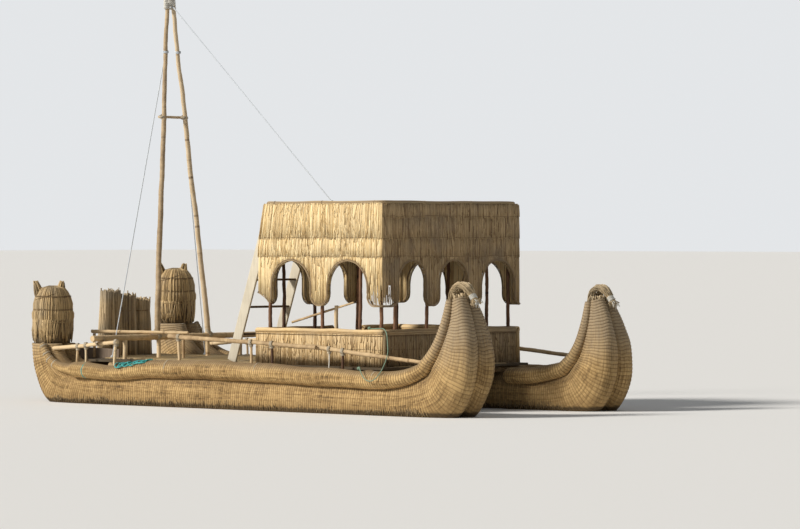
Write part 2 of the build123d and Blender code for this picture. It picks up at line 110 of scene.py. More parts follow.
class Finish:
    def __init__(self, name, roughness=0.8, specular=0.3):
        self.material = bpy.data.materials.new(name)
        self.material.use_nodes = True
        self.tree = self.material.node_tree
        self.shader = self.tree.nodes["Principled BSDF"]
        self.shader.inputs["Roughness"].default_value = roughness
        self.shader.inputs["Specular IOR Level"].default_value = specular

    def add(self, kind, settings, inputs, output=0):
        node = self.tree.nodes.new(kind)
        for key, value in settings.items():
            if key == "stops":
                ramp = node.color_ramp
                while len(ramp.elements) < len(value):
                    ramp.elements.new(0.5)
                for stop, (place, colour) in zip(ramp.elements, value):
                    stop.position, stop.color = place, (*colour, 1)
            else:
                setattr(node, key, value)
        pairs = inputs.items() if isinstance(inputs, dict) else enumerate(inputs)
        for key, value in pairs:
            if isinstance(value, Signal):
                self.tree.links.new(value.socket, node.inputs[key])
            else:
                node.inputs[key].default_value = value
        return Signal(self, node.outputs[output])

    def place(self, kind="Object"):
        outputs = {"Object": 3, "UV": 2}
        return self.add("ShaderNodeTexCoord", {}, {}, outputs[kind])

    def split(self, vector):
        return [self.add("ShaderNodeSeparateXYZ", {}, [vector], axis) for axis in range(3)]

    def join(self, x, y, z=0.0):
        return self.add("ShaderNodeCombineXYZ", {}, [x, y, z])

    def noise(self, where, scale, detail=4.0, roughness=0.55):
        return self.add("ShaderNodeTexNoise", {}, {"Vector": where, "Scale": scale,
                                                   "Detail": detail, "Roughness": roughness})

    def dice(self, x, y):
        # one chance value for each cell of x and y
        return self.add("ShaderNodeTexWhiteNoise", {"noise_dimensions": "2D"},
                        {"Vector": self.join(x.floor(), y.floor())})

    def ramp(self, factor, *stops):
        return self.add("ShaderNodeValToRGB", {"stops": stops}, [factor])

    def mix(self, factor, first, second):
        paint = [value if isinstance(value, Signal) else (*value, 1) for value in (first, second)]
        return self.add("ShaderNodeMix", {"data_type": "RGBA"},
                        {0: factor, 6: paint[0], 7: paint[1]}, 2)

    def tone(self, name="tone"):
        return self.add("ShaderNodeAttribute", {"attribute_name": name}, {}, 2)

    def upward(self):
        # z of the surface's normal
        return self.split(self.add("ShaderNodeNewGeometry", {}, {}, 1))[2]

    def paint(self, colour, height=None, depth=0.002, roughness=None):
        self.tree.links.new(colour.socket, self.shader.inputs["Base Color"])
        if height is not None:
            bump = self.add("ShaderNodeBump", {}, {"Height": height, "Distance": depth})
            self.tree.links.new(bump.socket, self.shader.inputs["Normal"])
        if roughness is not None:
            self.tree.links.new(roughness.socket, self.shader.inputs["Roughness"])
        return self.material


# What the finishes share: scales of their patterns, the twine's pitch and heights above the water
look = {
    "mottle": 14.0, "ageing": 1.7, "fibres": 190.0, "ringPitch": 0.05, "reed": 0.017, "patches": 2.3,
    "bleached": (0.37, 0.30, 0.21), "bleaching": (0.95, 1.9), "soiling": (0.12, 0.40),
    "wetLine": (0.10, 0.15), "barkStains": 5.0, "cracks": 60.0, "plankStains": 3.0, "fuzz": 90.0,
    "ropeStains": 6.0,
}


def singleReeds(name, dark, middle, light, aged, ageing=0.5, foot=None):
    # Separate reeds: a tone for each, mottled along it, with grey aged patches
    finish = Finish(name, 0.72, 0.35)
    where = finish.place()
    mottle = finish.noise(where, look["mottle"])
    tone = finish.tone() * 0.78 + mottle * 0.34 - 0.06
    colour = finish.ramp(tone, (0.0, dark), (0.32, middle), (0.72, light), (1.0, light))
    patches = finish.noise(where, look["ageing"], 3.0).between(0.42, 0.72) * ageing
    colour = finish.mix(patches, colour, aged)
    # painted shade: darker towards the foot, where the reeds stand on the deck
    if foot is not None:
        low, high, footShade = foot
        shade = 1 - (finish.split(where)[2] + mottle * 0.12).between(low, high)
        colour = finish.mix(shade * 0.75, colour, footShade)
    grain = finish.noise(where, look["fibres"], 3.0)
    return finish.paint(colour, grain, 0.0015, 0.62 + mottle * 0.3)


def boundReeds(name, dark, middle, light, top, damp=None, ringDepth=0.55):
    # Skin of a bound bundle: reeds run along it, with a ring of twine at each pitch
    finish = Finish(name, 0.8, 0.25)
    u, v, _ = finish.split(finish.place("UV"))
    where = finish.place()
    z = finish.split(where)[2]
    rings, reed = u / look["ringPitch"], look["reed"]
    streak = finish.noise(finish.join(u * 2.0, v / reed * 0.45), 1.0, 3.0, 0.75).between(0.28, 0.72)
    bands = finish.noise(finish.join(u * 0.5, v * 13.0), 1.0, 3.0, 0.7).between(0.30, 0.70)
    cells = finish.dice(rings, v / (reed * 1.6))
    turns = finish.dice(rings, v * 0.4)
    patches = finish.noise(where, look["patches"], 4.0, 0.6)
    tone = streak * 0.24 + cells * 0.18 + bands * 0.32 + patches * 0.55 + turns * 0.14 - 0.25
    colour = finish.ramp(tone, (0.06, dark), (0.34, middle), (0.68, light), (1.0, light))
    ring = (rings.fraction() - 0.5).size().between(0.30, 0.5)
    colour = finish.mix(ring * ringDepth * (0.35 + streak * 0.65), colour, dark)
    flecks = finish.noise(finish.join(u * 22.0, v * 60.0), 1.0, 2.0).between(0.66, 0.74)
    colour = finish.mix(flecks * 0.6, colour, dark)
    # greyer where it faces up, and where it stands high above the water
    above = finish.upward().between(0.15, 0.85) * 0.72
    colour = finish.mix(above, colour, finish.mix(ring * 0.5 + streak * 0.4, top, dark))
    weathered = (z + patches * 0.7).between(*look["bleaching"]) * 0.72
    bleached = finish.mix(ring * 0.45 + streak * 0.3, look["bleached"], dark)
    colour = finish.mix(weathered, colour, bleached)
    if damp is not None:
        level = z + finish.noise(finish.join(u * 14.0, v * 2.0), 1.0, 4.0) * 0.09
        soiled = (1 - level.between(*look["soiling"])) * (0.25 + bands * 0.5)
        colour = finish.mix(soiled, colour, middle)
        colour = finish.mix((1 - level.between(*look["wetLine"])) * 0.85, colour, damp)
    height = finish.noise(finish.join(u * 3.0, v / reed), 1.0, 2.0) * 0.7 - ring * 0.6
    return finish.paint(colour, height, 0.009, 0.66 + streak * 0.3)


def barkedPole(name, dark, middle, light):
    finish = Finish(name, 0.7, 0.3)
    where, tone = finish.place(), finish.tone()
    stains = finish.noise(where, look["barkStains"], 5.0, 0.65)
    along = finish.join(finish.tone("along") * 7.0, tone * 40.0)
    knots = finish.noise(along, 1.0, 2.0).between(0.62, 0.72)
    colour = finish.ramp(stains * 0.7 + tone * 0.45 - 0.08, (0.1, dark), (0.45, middle), (0.8, light))
    colour = finish.mix(knots * 0.75, colour, dark)
    cracks = finish.noise(where, look["cracks"], 4.0, 0.7)
    return finish.paint(colour, cracks, 0.004, 0.55 + stains * 0.4)


def sawnPlank(name, dark, light):
    finish = Finish(name, 0.75, 0.3)
    where = finish.place()
    x, y, z = finish.split(where)
    grain = finish.noise(finish.join(y * 70.0, x * 30.0, z * 2.0), 1.0, 4.0, 0.6)
    stains = finish.noise(where, look["plankStains"], 4.0)
    colour = finish.ramp(grain * 0.6 + stains * 0.5 - 0.05, (0.2, dark), (0.75, light))
    return finish.paint(colour, grain, 0.002, 0.6 + grain * 0.3)


def laidRope(name, dark, light):
    finish = Finish(name, 0.75, 0.25)
    where = finish.place()
    fuzz = finish.noise(where, look["fuzz"], 3.0)
    stains = finish.noise(where, look["ropeStains"], 3.0)
    colour = finish.ramp(fuzz * 0.6 + stains * 0.5 - 0.05, (0.2, dark), (0.7, light))
    return finish.paint(colour, fuzz, 0.002, 0.65 + fuzz * 0.25)


finishes = {
    "wall": singleReeds("wallReeds", (0.27, 0.16, 0.06), (0.70, 0.505, 0.24), (0.90, 0.73, 0.43),
                        (0.60, 0.47, 0.29), 0.3),
    # painted shade: darker copies of the wall and parapet reeds for the fore faces, which turn away
    # from the key lamp
    "wallPaintedShade": singleReeds("wallReedsPaintedShade", (0.13, 0.075, 0.035), (0.37, 0.25, 0.125),
                            (0.55, 0.40, 0.22), (0.31, 0.235, 0.155), 0.65),
    "parapetPaintedShade": singleReeds("parapetReedsPaintedShade", (0.11, 0.065, 0.03), (0.31, 0.21, 0.105),
                               (0.47, 0.34, 0.19), (0.26, 0.20, 0.13), 0.6),
    # the parapet reeds darken from the deck up to 1.05 m: painted shade at the foot
    "parapet": singleReeds("parapetReeds", (0.22, 0.13, 0.055), (0.54, 0.37, 0.17),
                           (0.78, 0.59, 0.33), (0.44, 0.33, 0.20), 0.5,
                           (0.80, 1.05, (0.27, 0.17, 0.08))),
    "head": singleReeds("headReeds", (0.10, 0.062, 0.028), (0.34, 0.23, 0.105), (0.60, 0.43, 0.215),
                        (0.29, 0.23, 0.15), 0.75),
    "curl": singleReeds("curlReeds", (0.13, 0.085, 0.04), (0.38, 0.28, 0.155), (0.60, 0.47, 0.29),
                        (0.33, 0.27, 0.18), 0.6),
    "deck": singleReeds("deckReeds", (0.15, 0.10, 0.05), (0.38, 0.27, 0.13), (0.57, 0.43, 0.22),
                        (0.32, 0.26, 0.17), 0.7),
    "screen": singleReeds("screenReeds", (0.11, 0.07, 0.035), (0.35, 0.25, 0.135),
                          (0.62, 0.48, 0.29), (0.28, 0.23, 0.16), 0.75),
    "hoop": singleReeds("hoopReeds", (0.12, 0.075, 0.04), (0.29, 0.20, 0.11), (0.42, 0.31, 0.17),
                        (0.27, 0.21, 0.14), 0.6),
    "tatter": singleReeds("tatteredReeds", (0.06, 0.04, 0.02), (0.20, 0.13, 0.06),
                          (0.42, 0.30, 0.15), (0.20, 0.15, 0.09), 0.6),
    "hull": boundReeds("hullBundles", (0.078, 0.044, 0.018), (0.285, 0.180, 0.072),
                       (0.53, 0.355, 0.155), (0.27, 0.195, 0.115), (0.035, 0.022, 0.010)),
    "roll": boundReeds("rollBundles", (0.092, 0.052, 0.020), (0.335, 0.21, 0.083),
                       (0.60, 0.405, 0.175), (0.28, 0.205, 0.12), None, 0.9),
    # painted shade: near-black reeds for the head cores and the slabs under the mats, so the gaps
    # between reeds look dark
    "core": singleReeds("coreReedsPaintedShade", (0.05, 0.035, 0.018), (0.12, 0.085, 0.045),
                        (0.18, 0.13, 0.07), (0.12, 0.10, 0.07), 0.5),
    "pole": barkedPole("polePale", (0.20, 0.12, 0.055), (0.60, 0.44, 0.25), (0.78, 0.63, 0.41)),
    "mast": barkedPole("mastPale", (0.19, 0.12, 0.065), (0.55, 0.42, 0.26), (0.75, 0.62, 0.44)),
    "post": barkedPole("postDark", (0.04, 0.02, 0.012), (0.13, 0.065, 0.035), (0.25, 0.13, 0.07)),
    "plank": sawnPlank("plankGrey", (0.42, 0.37, 0.28), (0.72, 0.66, 0.53)),
    # painted shade: the dark board at the stern stands where there is only shadow
    "board": sawnPlank("boardPaintedShade", (0.09, 0.065, 0.045), (0.24, 0.18, 0.13)),
    "tread": sawnPlank("treadDark", (0.05, 0.035, 0.02), (0.15, 0.10, 0.06)),
    "rope": laidRope("ropePale", (0.42, 0.40, 0.34), (0.80, 0.78, 0.72)),
    "lash": laidRope("lashingPale", (0.27, 0.22, 0.15), (0.60, 0.53, 0.41)),
    "stay": laidRope("stayPale", (0.45, 0.50, 0.55), (0.74, 0.78, 0.82)),
    "twine": laidRope("twineDark", (0.09, 0.06, 0.03), (0.24, 0.16, 0.08)),
    "green": laidRope("ropeGreen", (0.10, 0.17, 0.12), (0.26, 0.37, 0.27)),
    "teal": laidRope("ropeTeal", (0.02, 0.22, 0.22), (0.10, 0.46, 0.44)),
}
print("finishes", len(finishes))


def dress(piece, finish):
    piece.data.materials.clear()
    piece.data.materials.append(finishes[finish])


def tag(piece, replaced):
    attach(piece, "root")
    if replaced:
        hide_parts(*replaced)


def addValues(mesh, label, values):
    # one number for each point, that the finishes read
    layer = mesh.attributes.new(label, "FLOAT", "POINT")
    layer.data.foreach_set("value", np.asarray(values, dtype=np.float32))


# Meshes from arrays
def meshPiece(name, points, faceSets, finish, replaced, values, uvs=None):
    mesh = bpy.data.meshes.new(name)
    points = np.asarray(points, dtype=np.float32).reshape(-1, 3)
    mesh.vertices.add(len(points))
    mesh.vertices.foreach_set("co", points.ravel())
    corners = np.concatenate([faces.ravel() for faces in faceSets]).astype(np.int32)
    sizes = np.concatenate([np.full(len(faces), faces.shape[1]) for faces in faceSets])
    starts = np.concatenate([[0], np.cumsum(sizes)[:-1]]).astype(np.int32)
    mesh.loops.add(len(corners))
    mesh.loops.foreach_set("vertex_index", corners)
    mesh.polygons.add(len(sizes))
    mesh.polygons.foreach_set("loop_start", starts)
    mesh.update(calc_edges=True)
    mesh.validate()
    mesh.shade_smooth()
    for label, numbers in values.items():
        addValues(mesh, label, numbers)
    if uvs is not None:
        layer = mesh.uv_layers.new(name="UVMap")
        layer.data.foreach_set("uv", np.asarray(uvs, dtype=np.float32)[corners].ravel())
    piece = newObject(name, mesh)
    dress(piece, finish)
    tag(piece, replaced)
    return piece


upright = np.array((0, 0, 1.0))
besideUpright = np.array((1.0, 0.3, 0.05))      # where a standing reed's first side looks
wholeTurn = 2 * math.pi


def unit(vectors):
    return vectors / np.maximum(np.linalg.norm(vectors, axis=-1, keepdims=True), 1e-9)


class Bunch:
    # Many tubes that become one mesh
    def __init__(self):
        self.points, self.quads, self.caps, self.tones, self.along, self.count = [], [], {}, [], [], 0

    def tubes(self, paths, radii, sides=4, reference=None):
        # paths holds one row of points for each tube, radii one value for each of them
        paths = np.asarray(paths, dtype=float)
        number, stations = paths.shape[:2]
        radii = np.broadcast_to(np.asarray(radii, dtype=float), (number, stations))
        ahead = unit(np.gradient(paths, axis=1))
        if reference is None:
            standing = np.abs(unit(paths[:, -1] - paths[:, 0])[:, 2]) > 0.75
            reference = np.where(standing[:, None], (1.0, 0.0, 0.0), (0.0, 0.0, 1.0))[:, None, :]
        reference = np.broadcast_to(reference, ahead.shape)
        first = unit(reference - ahead * np.sum(ahead * reference, axis=-1, keepdims=True))
        second = np.cross(ahead, first)
        turns = (np.arange(sides) + 0.5) * wholeTurn / sides
        rings = (paths[:, :, None] + radii[:, :, None, None] * (
            np.cos(turns)[:, None] * first[:, :, None] + np.sin(turns)[:, None] * second[:, :, None]))
        index = np.arange(number * stations * sides).reshape(number, stations, sides) + self.count
        following = np.roll(index, -1, axis=2)
        self.quads.append(np.stack([index[:, :-1], following[:, :-1], following[:, 1:],
                                    index[:, 1:]], axis=-1).reshape(-1, 4))
        ends = np.concatenate([index[:, 0, ::-1], index[:, -1]])
        self.caps.setdefault(sides, []).append(ends)
        self.tones.append(np.repeat(chance.random(number), stations * sides))
        gaps = np.linalg.norm(np.diff(paths, axis=1), axis=-1)
        reach = np.concatenate([np.zeros((number, 1)), np.cumsum(gaps, axis=1)], axis=1)
        self.along.append(np.repeat(reach.ravel(), sides))
        self.points.append(rings.reshape(-1, 3))
        self.count += number * stations * sides

    def straight(self, starts, ends, radii, sides=4, bow=0.0, tips=1.0):
        # tubes of three stations, the middle one pushed aside by up to bow
        starts, ends = np.asarray(starts, dtype=float), np.asarray(ends, dtype=float)
        middles = (starts + ends) / 2 + chance.normal(0, 1, starts.shape) * bow
        radii = np.broadcast_to(np.asarray(radii, dtype=float), (len(starts),))
        widths = np.stack([radii, radii, radii * tips], axis=1)
        self.tubes(np.stack([starts, middles, ends], axis=1), widths, sides)

    def piece(self, name, finish, slot, *replaced):
        faces = self.quads + [np.concatenate(ends) for ends in self.caps.values()]
        values = {"tone": np.concatenate(self.tones), "along": np.concatenate(self.along)}
        return meshPiece(name, np.concatenate(self.points), faces, finish, replaced, values)


def gapsAlong(points):
    return np.linalg.norm(np.diff(points, axis=0), axis=1)


def reachAlong(points):
    # how far along its line each point lies
    return np.concatenate([[0], np.cumsum(gapsAlong(points))])


def atPlaces(places, reach, rows):
    return np.stack([np.interp(places, reach, column) for column in rows.T], axis=1)


def evenPath(points, count):
    reach = reachAlong(points[:, :3])
    return atPlaces(np.linspace(0, reach[-1], count), reach, points)


def denseRows(rows, steps, measured=2):
    # the rows with steps - 1 more in each gap, on smooth curves through the given ones
    rows = np.asarray(rows, dtype=float)
    along = reachAlong(rows[:, :measured])
    low = np.maximum(np.arange(len(rows)) - 1, 0)
    high = np.minimum(np.arange(len(rows)) + 1, len(rows) - 1)
    rates = (rows[high] - rows[low]) / (along[high] - along[low])[:, None]
    t = (np.arange(steps) / steps)[None, :, None]
    gap = gapsAlong(rows[:, :measured])[:, None, None]
    ease = t * t * (3 - 2 * t)
    filled = (rows[:-1, None] + ease * (rows[1:, None] - rows[:-1, None])
              + t * (1 - t) ** 2 * gap * rates[:-1, None] - t * t * (1 - t) * gap * rates[1:, None])
    return np.concatenate([filled.reshape(-1, rows.shape[1]), rows[-1:]])


def smoothPath(points, count):
    # count points on a smooth line through the given ones
    return evenPath(denseRows(points, 24, 3), count)


def ripples(u, v, size, seed, waves=7, reach=6.0):
    # smooth uneven relief, the same each run
    dice = np.random.default_rng(seed)
    total = np.zeros(np.broadcast(u, v).shape)
    for _ in range(waves):
        a, b, phase = dice.normal(0, reach), dice.normal(0, 2.0), dice.uniform(0, 6.28)
        total += np.sin(a * u + b * v + phase)
    return size * total / math.sqrt(waves)


def addRing(bunch, centre, turn, wide, deep, lift, rope):
    # a ring of rope round an upright form; lift is its height at each turn
    ring = np.stack(np.broadcast_arrays(wide * np.cos(turn), deep * np.sin(turn), lift), axis=1)
    bunch.tubes([np.asarray(centre) + ring], rope, 5, upright)


# The green rope tied round the pavilion's fore starboard corner
tieRope = {
    "radius": 0.008, "length": 2.412, "finish": "green",
    "knots": (0.022, 0.024), "knotTilts": (0.2, 1.3, 2.4), "knotRope": 0.009, "knotRise": 0.012,
    "route": [
        (2.620, -1.655, 1.4383), (2.800, -1.650, 1.448), (2.960, -1.670, 1.456),
        (3.092, -1.742, 1.392), (3.192, -1.830, 1.284), (3.290, -1.932, 1.176),
        (3.376, -2.016, 1.092), (3.432, -2.088, 1.036), (3.468, -2.156, 0.956),
        (3.486, -2.236, 0.852), (3.498, -2.334, 0.738), (3.452, -2.408, 0.632),
        (3.352, -2.438, 0.578), (3.238, -2.442, 0.612), (3.144, -2.424, 0.698),
        (3.050, -2.366, 0.786), (2.944, -2.268, 0.812), (2.846, -2.168, 0.772),
    ],
}


def addKnot(bunch, place, reach):
    # loops of the rope, one across another
    turn = np.linspace(0, wholeTurn, 13)
    for tilt in tieRope["knotTilts"]:
        ring = np.stack([reach * np.cos(turn), reach * np.sin(turn) * math.cos(tilt),
                         reach * np.sin(turn) * math.sin(tilt)], axis=1)
        bunch.tubes([ring + np.array(place) + (0, 0, tieRope["knotRise"])], tieRope["knotRope"], 5,
                    np.array((0, -math.sin(tilt), math.cos(tilt))))


def addTieRope():
    curve = bpy.data.curves.new("tieRope", "CURVE")
    curve.dimensions = "3D"
    curve.bevel_depth = tieRope["radius"]
    curve.bevel_resolution = 3
    curve.use_fill_caps = True
    spline = curve.splines.new("NURBS")
    spline.points.add(len(tieRope["route"]) - 1)
    for point, place in zip(spline.points, tieRope["route"]):
        point.co = (*place, 1)
    spline.order_u = 3
    spline.use_endpoint_u = True
    spline.resolution_u = 8
    curve.materials.append(finishes[tieRope["finish"]])
    rope = newObject("tieRope", curve)
    knots = Bunch()
    for end, reach in zip((0, -1), tieRope["knots"]):
        addKnot(knots, tieRope["route"][end], reach)
    knot = knots.piece("tieRopeKnots", "green", "green_line")
    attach(rope, "root")
    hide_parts("tie_rope")


addTieRope()
print("rope")


# Hulls: two bundles each side by side, swept through one table of sections
hull = {
    "spacing": 3.46, "centre": 0.44, "reach": 0.56, "pitch": look["ringPitch"], "stations": 3,
    "around": 36, "ring": 0.011, "lumps": 0.007, "drift": (0.010, 0.012), "driftFade": 0.15,
    "grain": 0.45,
    "rows": [
        # x, z of the axis, slope, half depth, lobe width, roll angle, roll radius, shift's share
        (-5.16, 1.06, -90, 0.350, 0.360, 20, 0.060, 1.0),
        (-5.03, 0.68, -66, 0.380, 0.400, 34, 0.070, 0.9),
        (-4.73, 0.37, -38, 0.440, 0.460, 45, 0.082, 0.5),
        (-4.10, 0.235, -12, 0.455, 0.505, 44, 0.100, 0.1),
        (-3.00, 0.203, -2, 0.457, 0.524, 43, 0.130, 0),
        (-1.90, 0.195, 0, 0.459, 0.533, 55, 0.156, 0),
        (0.0, 0.190, 0, 0.460, 0.535, 57, 0.162, 0),
        (3.05, 0.175, 0, 0.460, 0.510, 48, 0.150, 0),
        (3.900, 0.195, 8, 0.455, 0.500, 52, 0.138, 0.3),
        (4.540, 0.375, 34, 0.480, 0.500, 60, 0.126, 0.8),
        (4.812, 0.750, 64, 0.430, 0.490, 64, 0.116, 1),
        (4.912, 1.180, 86, 0.328, 0.440, 64, 0.100, 1),
        (4.890, 1.620, 98, 0.208, 0.330, 60, 0.080, 0.9),
        (4.815, 1.990, 106, 0.118, 0.225, 58, 0.062, 0.8),
    ],
    "innerStart": (3.34, 0.180, 2, 0.458, 0.505, 46, 0.142, 0),
    "sternShift": {-1: (0.0, 0.0), 1: (-0.30, 0.30)},      # x and z
    "bowShift": {-1: (0.0, 0.0), 1: (0.175, -0.09)},
}
sides = {-1: "stbd", 1: "port"}


def hullMiddle(side):
    return side * hull["spacing"] / 2


def hullRows(side, rows):
    dense = denseRows(rows, 40)
    aft = dense[:, :1] < 0
    dense[:, :2] += dense[:, 7:8] * np.where(aft, hull["sternShift"][side], hull["bowShift"][side])
    return dense


def ringRelief(u, depth):
    # reeds swell between the rings of twine
    return depth * (np.sqrt(np.abs(np.sin(math.pi * u / hull["pitch"]))) - 0.7)


def evenRows(rows, spacing):
    reach = reachAlong(rows[:, :2])
    places = np.arange(0, reach[-1] + spacing / 2, spacing).clip(0, reach[-1])
    return places, atPlaces(places, reach, rows)


def skin(name, rings, u, v, finish, slot, *replaced):
    # a closed tube from rings of points, with its own UV map; the last column repeats the first
    number, around = rings.shape[:2]
    index = np.arange(number * around).reshape(number, around)
    quads = np.stack([index[:-1, :-1], index[:-1, 1:], index[1:, 1:], index[1:, :-1]], axis=-1)
    faces = [quads.reshape(-1, 4)]
    points = rings.reshape(-1, 3)
    uvs = np.stack([np.broadcast_to(u, (number, around)), np.broadcast_to(v, (number, around))],
                   axis=-1).reshape(-1, 2)
    for end, order in ((0, -1), (number - 1, 1)):
        middle = rings[end, :-1].mean(axis=0)
        points = np.concatenate([points, [middle]])
        uvs = np.concatenate([uvs, [uvs[end * around]]])
        hub = np.full(around - 1, len(points) - 1)
        ring = np.stack([index[end, :-1], index[end, 1:]], axis=1)[:, ::order]
        faces.append(np.column_stack([ring, hub]))
    weld(meshPiece(name, points, faces, finish, replaced, {}, uvs))


def weld(piece):
    bpy.ops.object.select_all(action="DESELECT")
    bpy.context.view_layer.objects.active = piece
    piece.select_set(True)
    bpy.ops.object.mode_set(mode="EDIT")
    bpy.ops.mesh.select_all(action="SELECT")
    bpy.ops.mesh.remove_doubles(threshold=0.00002)
    bpy.ops.mesh.normals_make_consistent(inside=False)
    bpy.ops.object.mode_set(mode="OBJECT")
    piece.select_set(False)


def addLobe(side, way):
    places, rows = evenRows(hullRows(side, hull["rows"]), hull["pitch"] / hull["stations"])
    x, z, slope, depth, width = (rows[:, k:k + 1] for k in range(5))
    corner = math.acos(-hull["centre"] / hull["reach"])
    turn = np.linspace(corner, -corner, hull["around"])[None, :]
    turn = np.concatenate([turn, [[corner]]], axis=1)
    seed = 10 + side * 3 + way
    u = places[:, None]
    wave, wander = hull["drift"]
    window = (np.minimum(u, places[-1] - u) / hull["driftFade"]).clip(0, 1)
    drift = window * (wave * np.sin(2 * turn + 3 * u) + ripples(u, turn * 2.0, wander, seed))
    out = width * (hull["centre"] + hull["reach"] * np.cos(turn))
    rise = depth * np.sin(turn)
    away = unit(np.stack([np.cos(turn) / (width * hull["reach"]), np.sin(turn) / depth], axis=-1))
    relief = ringRelief(u, hull["ring"]) + ripples(u, turn * 1.5, hull["lumps"], seed + 40)
    # no relief in the groove where the two bundles meet
    fade = np.sin((corner - np.abs(turn)) / corner * math.pi / 2).clip(0, 1)
    relief = relief * np.minimum(1, 3 * fade)
    out = (out + relief * away[..., 0]).clip(0.001, None)
    rise = rise + relief * away[..., 1]
    lean = np.radians(slope)
    rings = np.stack([x - rise * np.sin(lean) + drift * np.cos(lean),
                      np.broadcast_to(hullMiddle(side) + way * out, rise.shape),
                      z + rise * np.cos(lean) + drift * np.sin(lean)], axis=-1)
    where, label = "outer" if way == side else "inner", sides[side]
    skin(f"hullBundle_{label}_{where}", rings, u, turn * hull["grain"], "hull", "hull_reed",
         f"hull_{where}_bundle_{label}")


for side in sides:
    for way in sides:
        addLobe(side, way)
print("hull bundles")


# Rolls along the gunwales, thin at the stern and fat from the rail's second pole forward
rolls = {"seat": 0.75, "bluntRow": 3, "bluntRadius": 0.14, "bluntRings": 9, "innerRow": 8,
         "around": 22, "ring": 0.012, "lumps": 0.008, "drift": (0.008, 0.010), "driftFade": 0.3,
         "thin": 0.05, "grain": 0.14}


def rollPath(side, way, rows):
    dense = hullRows(side, rows)
    x, z, slope, depth, width, angle, radius = (dense[:, k] for k in range(7))
    lean, turn = np.radians(slope), np.radians(angle)
    stand = rolls["seat"] * radius
    out = width * hull["centre"] + (width * hull["reach"] + stand) * np.cos(turn)
    rise = (depth + stand) * np.sin(turn)
    return np.stack([x - rise * np.sin(lean), hullMiddle(side) + way * out,
                     z + rise * np.cos(lean), radius], axis=1)


def sternPath(side):
    return rollPath(side, side, hull["rows"][:rolls["bluntRow"] + 1])


def gunwalePath(side):
    row = hull["rows"][rolls["bluntRow"]]
    start = (*row[:6], rolls["bluntRadius"], row[7])
    return rollPath(side, side, [start] + hull["rows"][rolls["bluntRow"] + 1:])


def addRoll(name, path, blunt, seed, *replaced):
    length = gapsAlong(path[:, :3]).sum()
    rows = evenPath(path, int(length / (hull["pitch"] / hull["stations"])) + 1)
    ahead = unit(np.gradient(rows[:, :3], axis=0))
    places = np.linspace(0, length, len(rows))
    radius = rows[:, 3].copy()
    if blunt:
        # the blunt end is rounded off over one radius
        reach = radius[0]
        back = np.arange(1, 0, -1 / rolls["bluntRings"]) * reach
        extra = rows[0, :3] - back[:, None] * ahead[0]
        rows = np.concatenate([np.column_stack([extra, np.full(len(extra), reach)]), rows])
        ahead = np.concatenate([np.repeat(ahead[:1], len(extra), axis=0), ahead])
        places = np.concatenate([-back, places])
        radius = np.concatenate([reach * np.sqrt((1 - (back / reach) ** 2).clip(0.004, 1)), radius])
    across = unit(np.array((0, 1.0, 0)) - ahead * ahead[:, 1:2])
    upward = np.cross(ahead, across)
    turn = np.linspace(0, wholeTurn, rolls["around"] + 1)[None, :]
    u = places[:, None]
    wave, wander = rolls["drift"]
    window = (np.minimum(u - places[0], places[-1] - u) / rolls["driftFade"]).clip(0, 1)
    drift = window * (wave * np.sin(turn + 2 * u) + ripples(u, np.sin(turn), wander, seed + 9))
    relief = ringRelief(u, rolls["ring"]) + ripples(u, np.sin(turn) * 0.6, rolls["lumps"], seed, 7, 4.0)
    reach = radius[:, None] + relief * np.minimum(1, radius[:, None] / rolls["thin"])
    rings = (rows[:, None, :3] + drift[..., None] * ahead[:, None] + reach[..., None] * (
        np.cos(turn)[..., None] * across[:, None] + np.sin(turn)[..., None] * upward[:, None]))
    skin(name, rings, u, turn * rolls["grain"], "roll", "roll_reed", *replaced)


for side, label in sides.items():
    inner = [hull["innerStart"]] + hull["rows"][rolls["innerRow"]:]
    addRoll(f"gunwaleRoll_{label}", gunwalePath(side), True, 60 + side, f"gunwale_roll_{label}")
    addRoll(f"sternRoll_{label}", sternPath(side), False, 70 + side)
    addRoll(f"bowRoll_{label}", rollPath(side, -side, inner), True, 80 + side, f"bow_roll_{label}")
print("rolls")


# Curls: the rolls' reeds run on forward and down to a knot of pale rope
curl = {
    "reeds": 84, "radius": 0.0075, "stations": 15, "wander": 0.006, "frayedTip": 0.025,
    "knotRow": 5, "knotRope": 0.011, "knotTurns": 5, "knotPitch": 0.017, "ropeEnds": 9,
    "ropeEndRadius": 0.0065, "cutReeds": 120, "cutFoot": 0.05, "cutLength": (0.07, 0.13),
    "cutRadius": (0.007, 0.013),
    "rows": [
        # x and z from the prow's top, slope, half height, half width
        (-0.145, -0.10, 106, 0.056, 0.250),
        (-0.134, -0.03, 100, 0.060, 0.230),
        (-0.115, 0.13, 58, 0.066, 0.195),
        (-0.010, 0.215, 8, 0.060, 0.160),
        (0.110, 0.150, -36, 0.052, 0.115),
        (0.215, 0.015, -52, 0.036, 0.058),
        (0.270, -0.075, -56, 0.055, 0.088),
    ],
}


def prowTop(side):
    # the centre of the prow's top
    top = hull["rows"][-1]
    shiftX, shiftZ = hull["bowShift"][side]
    return np.array((top[0] + top[7] * shiftX, hullMiddle(side), top[1] + top[7] * shiftZ))


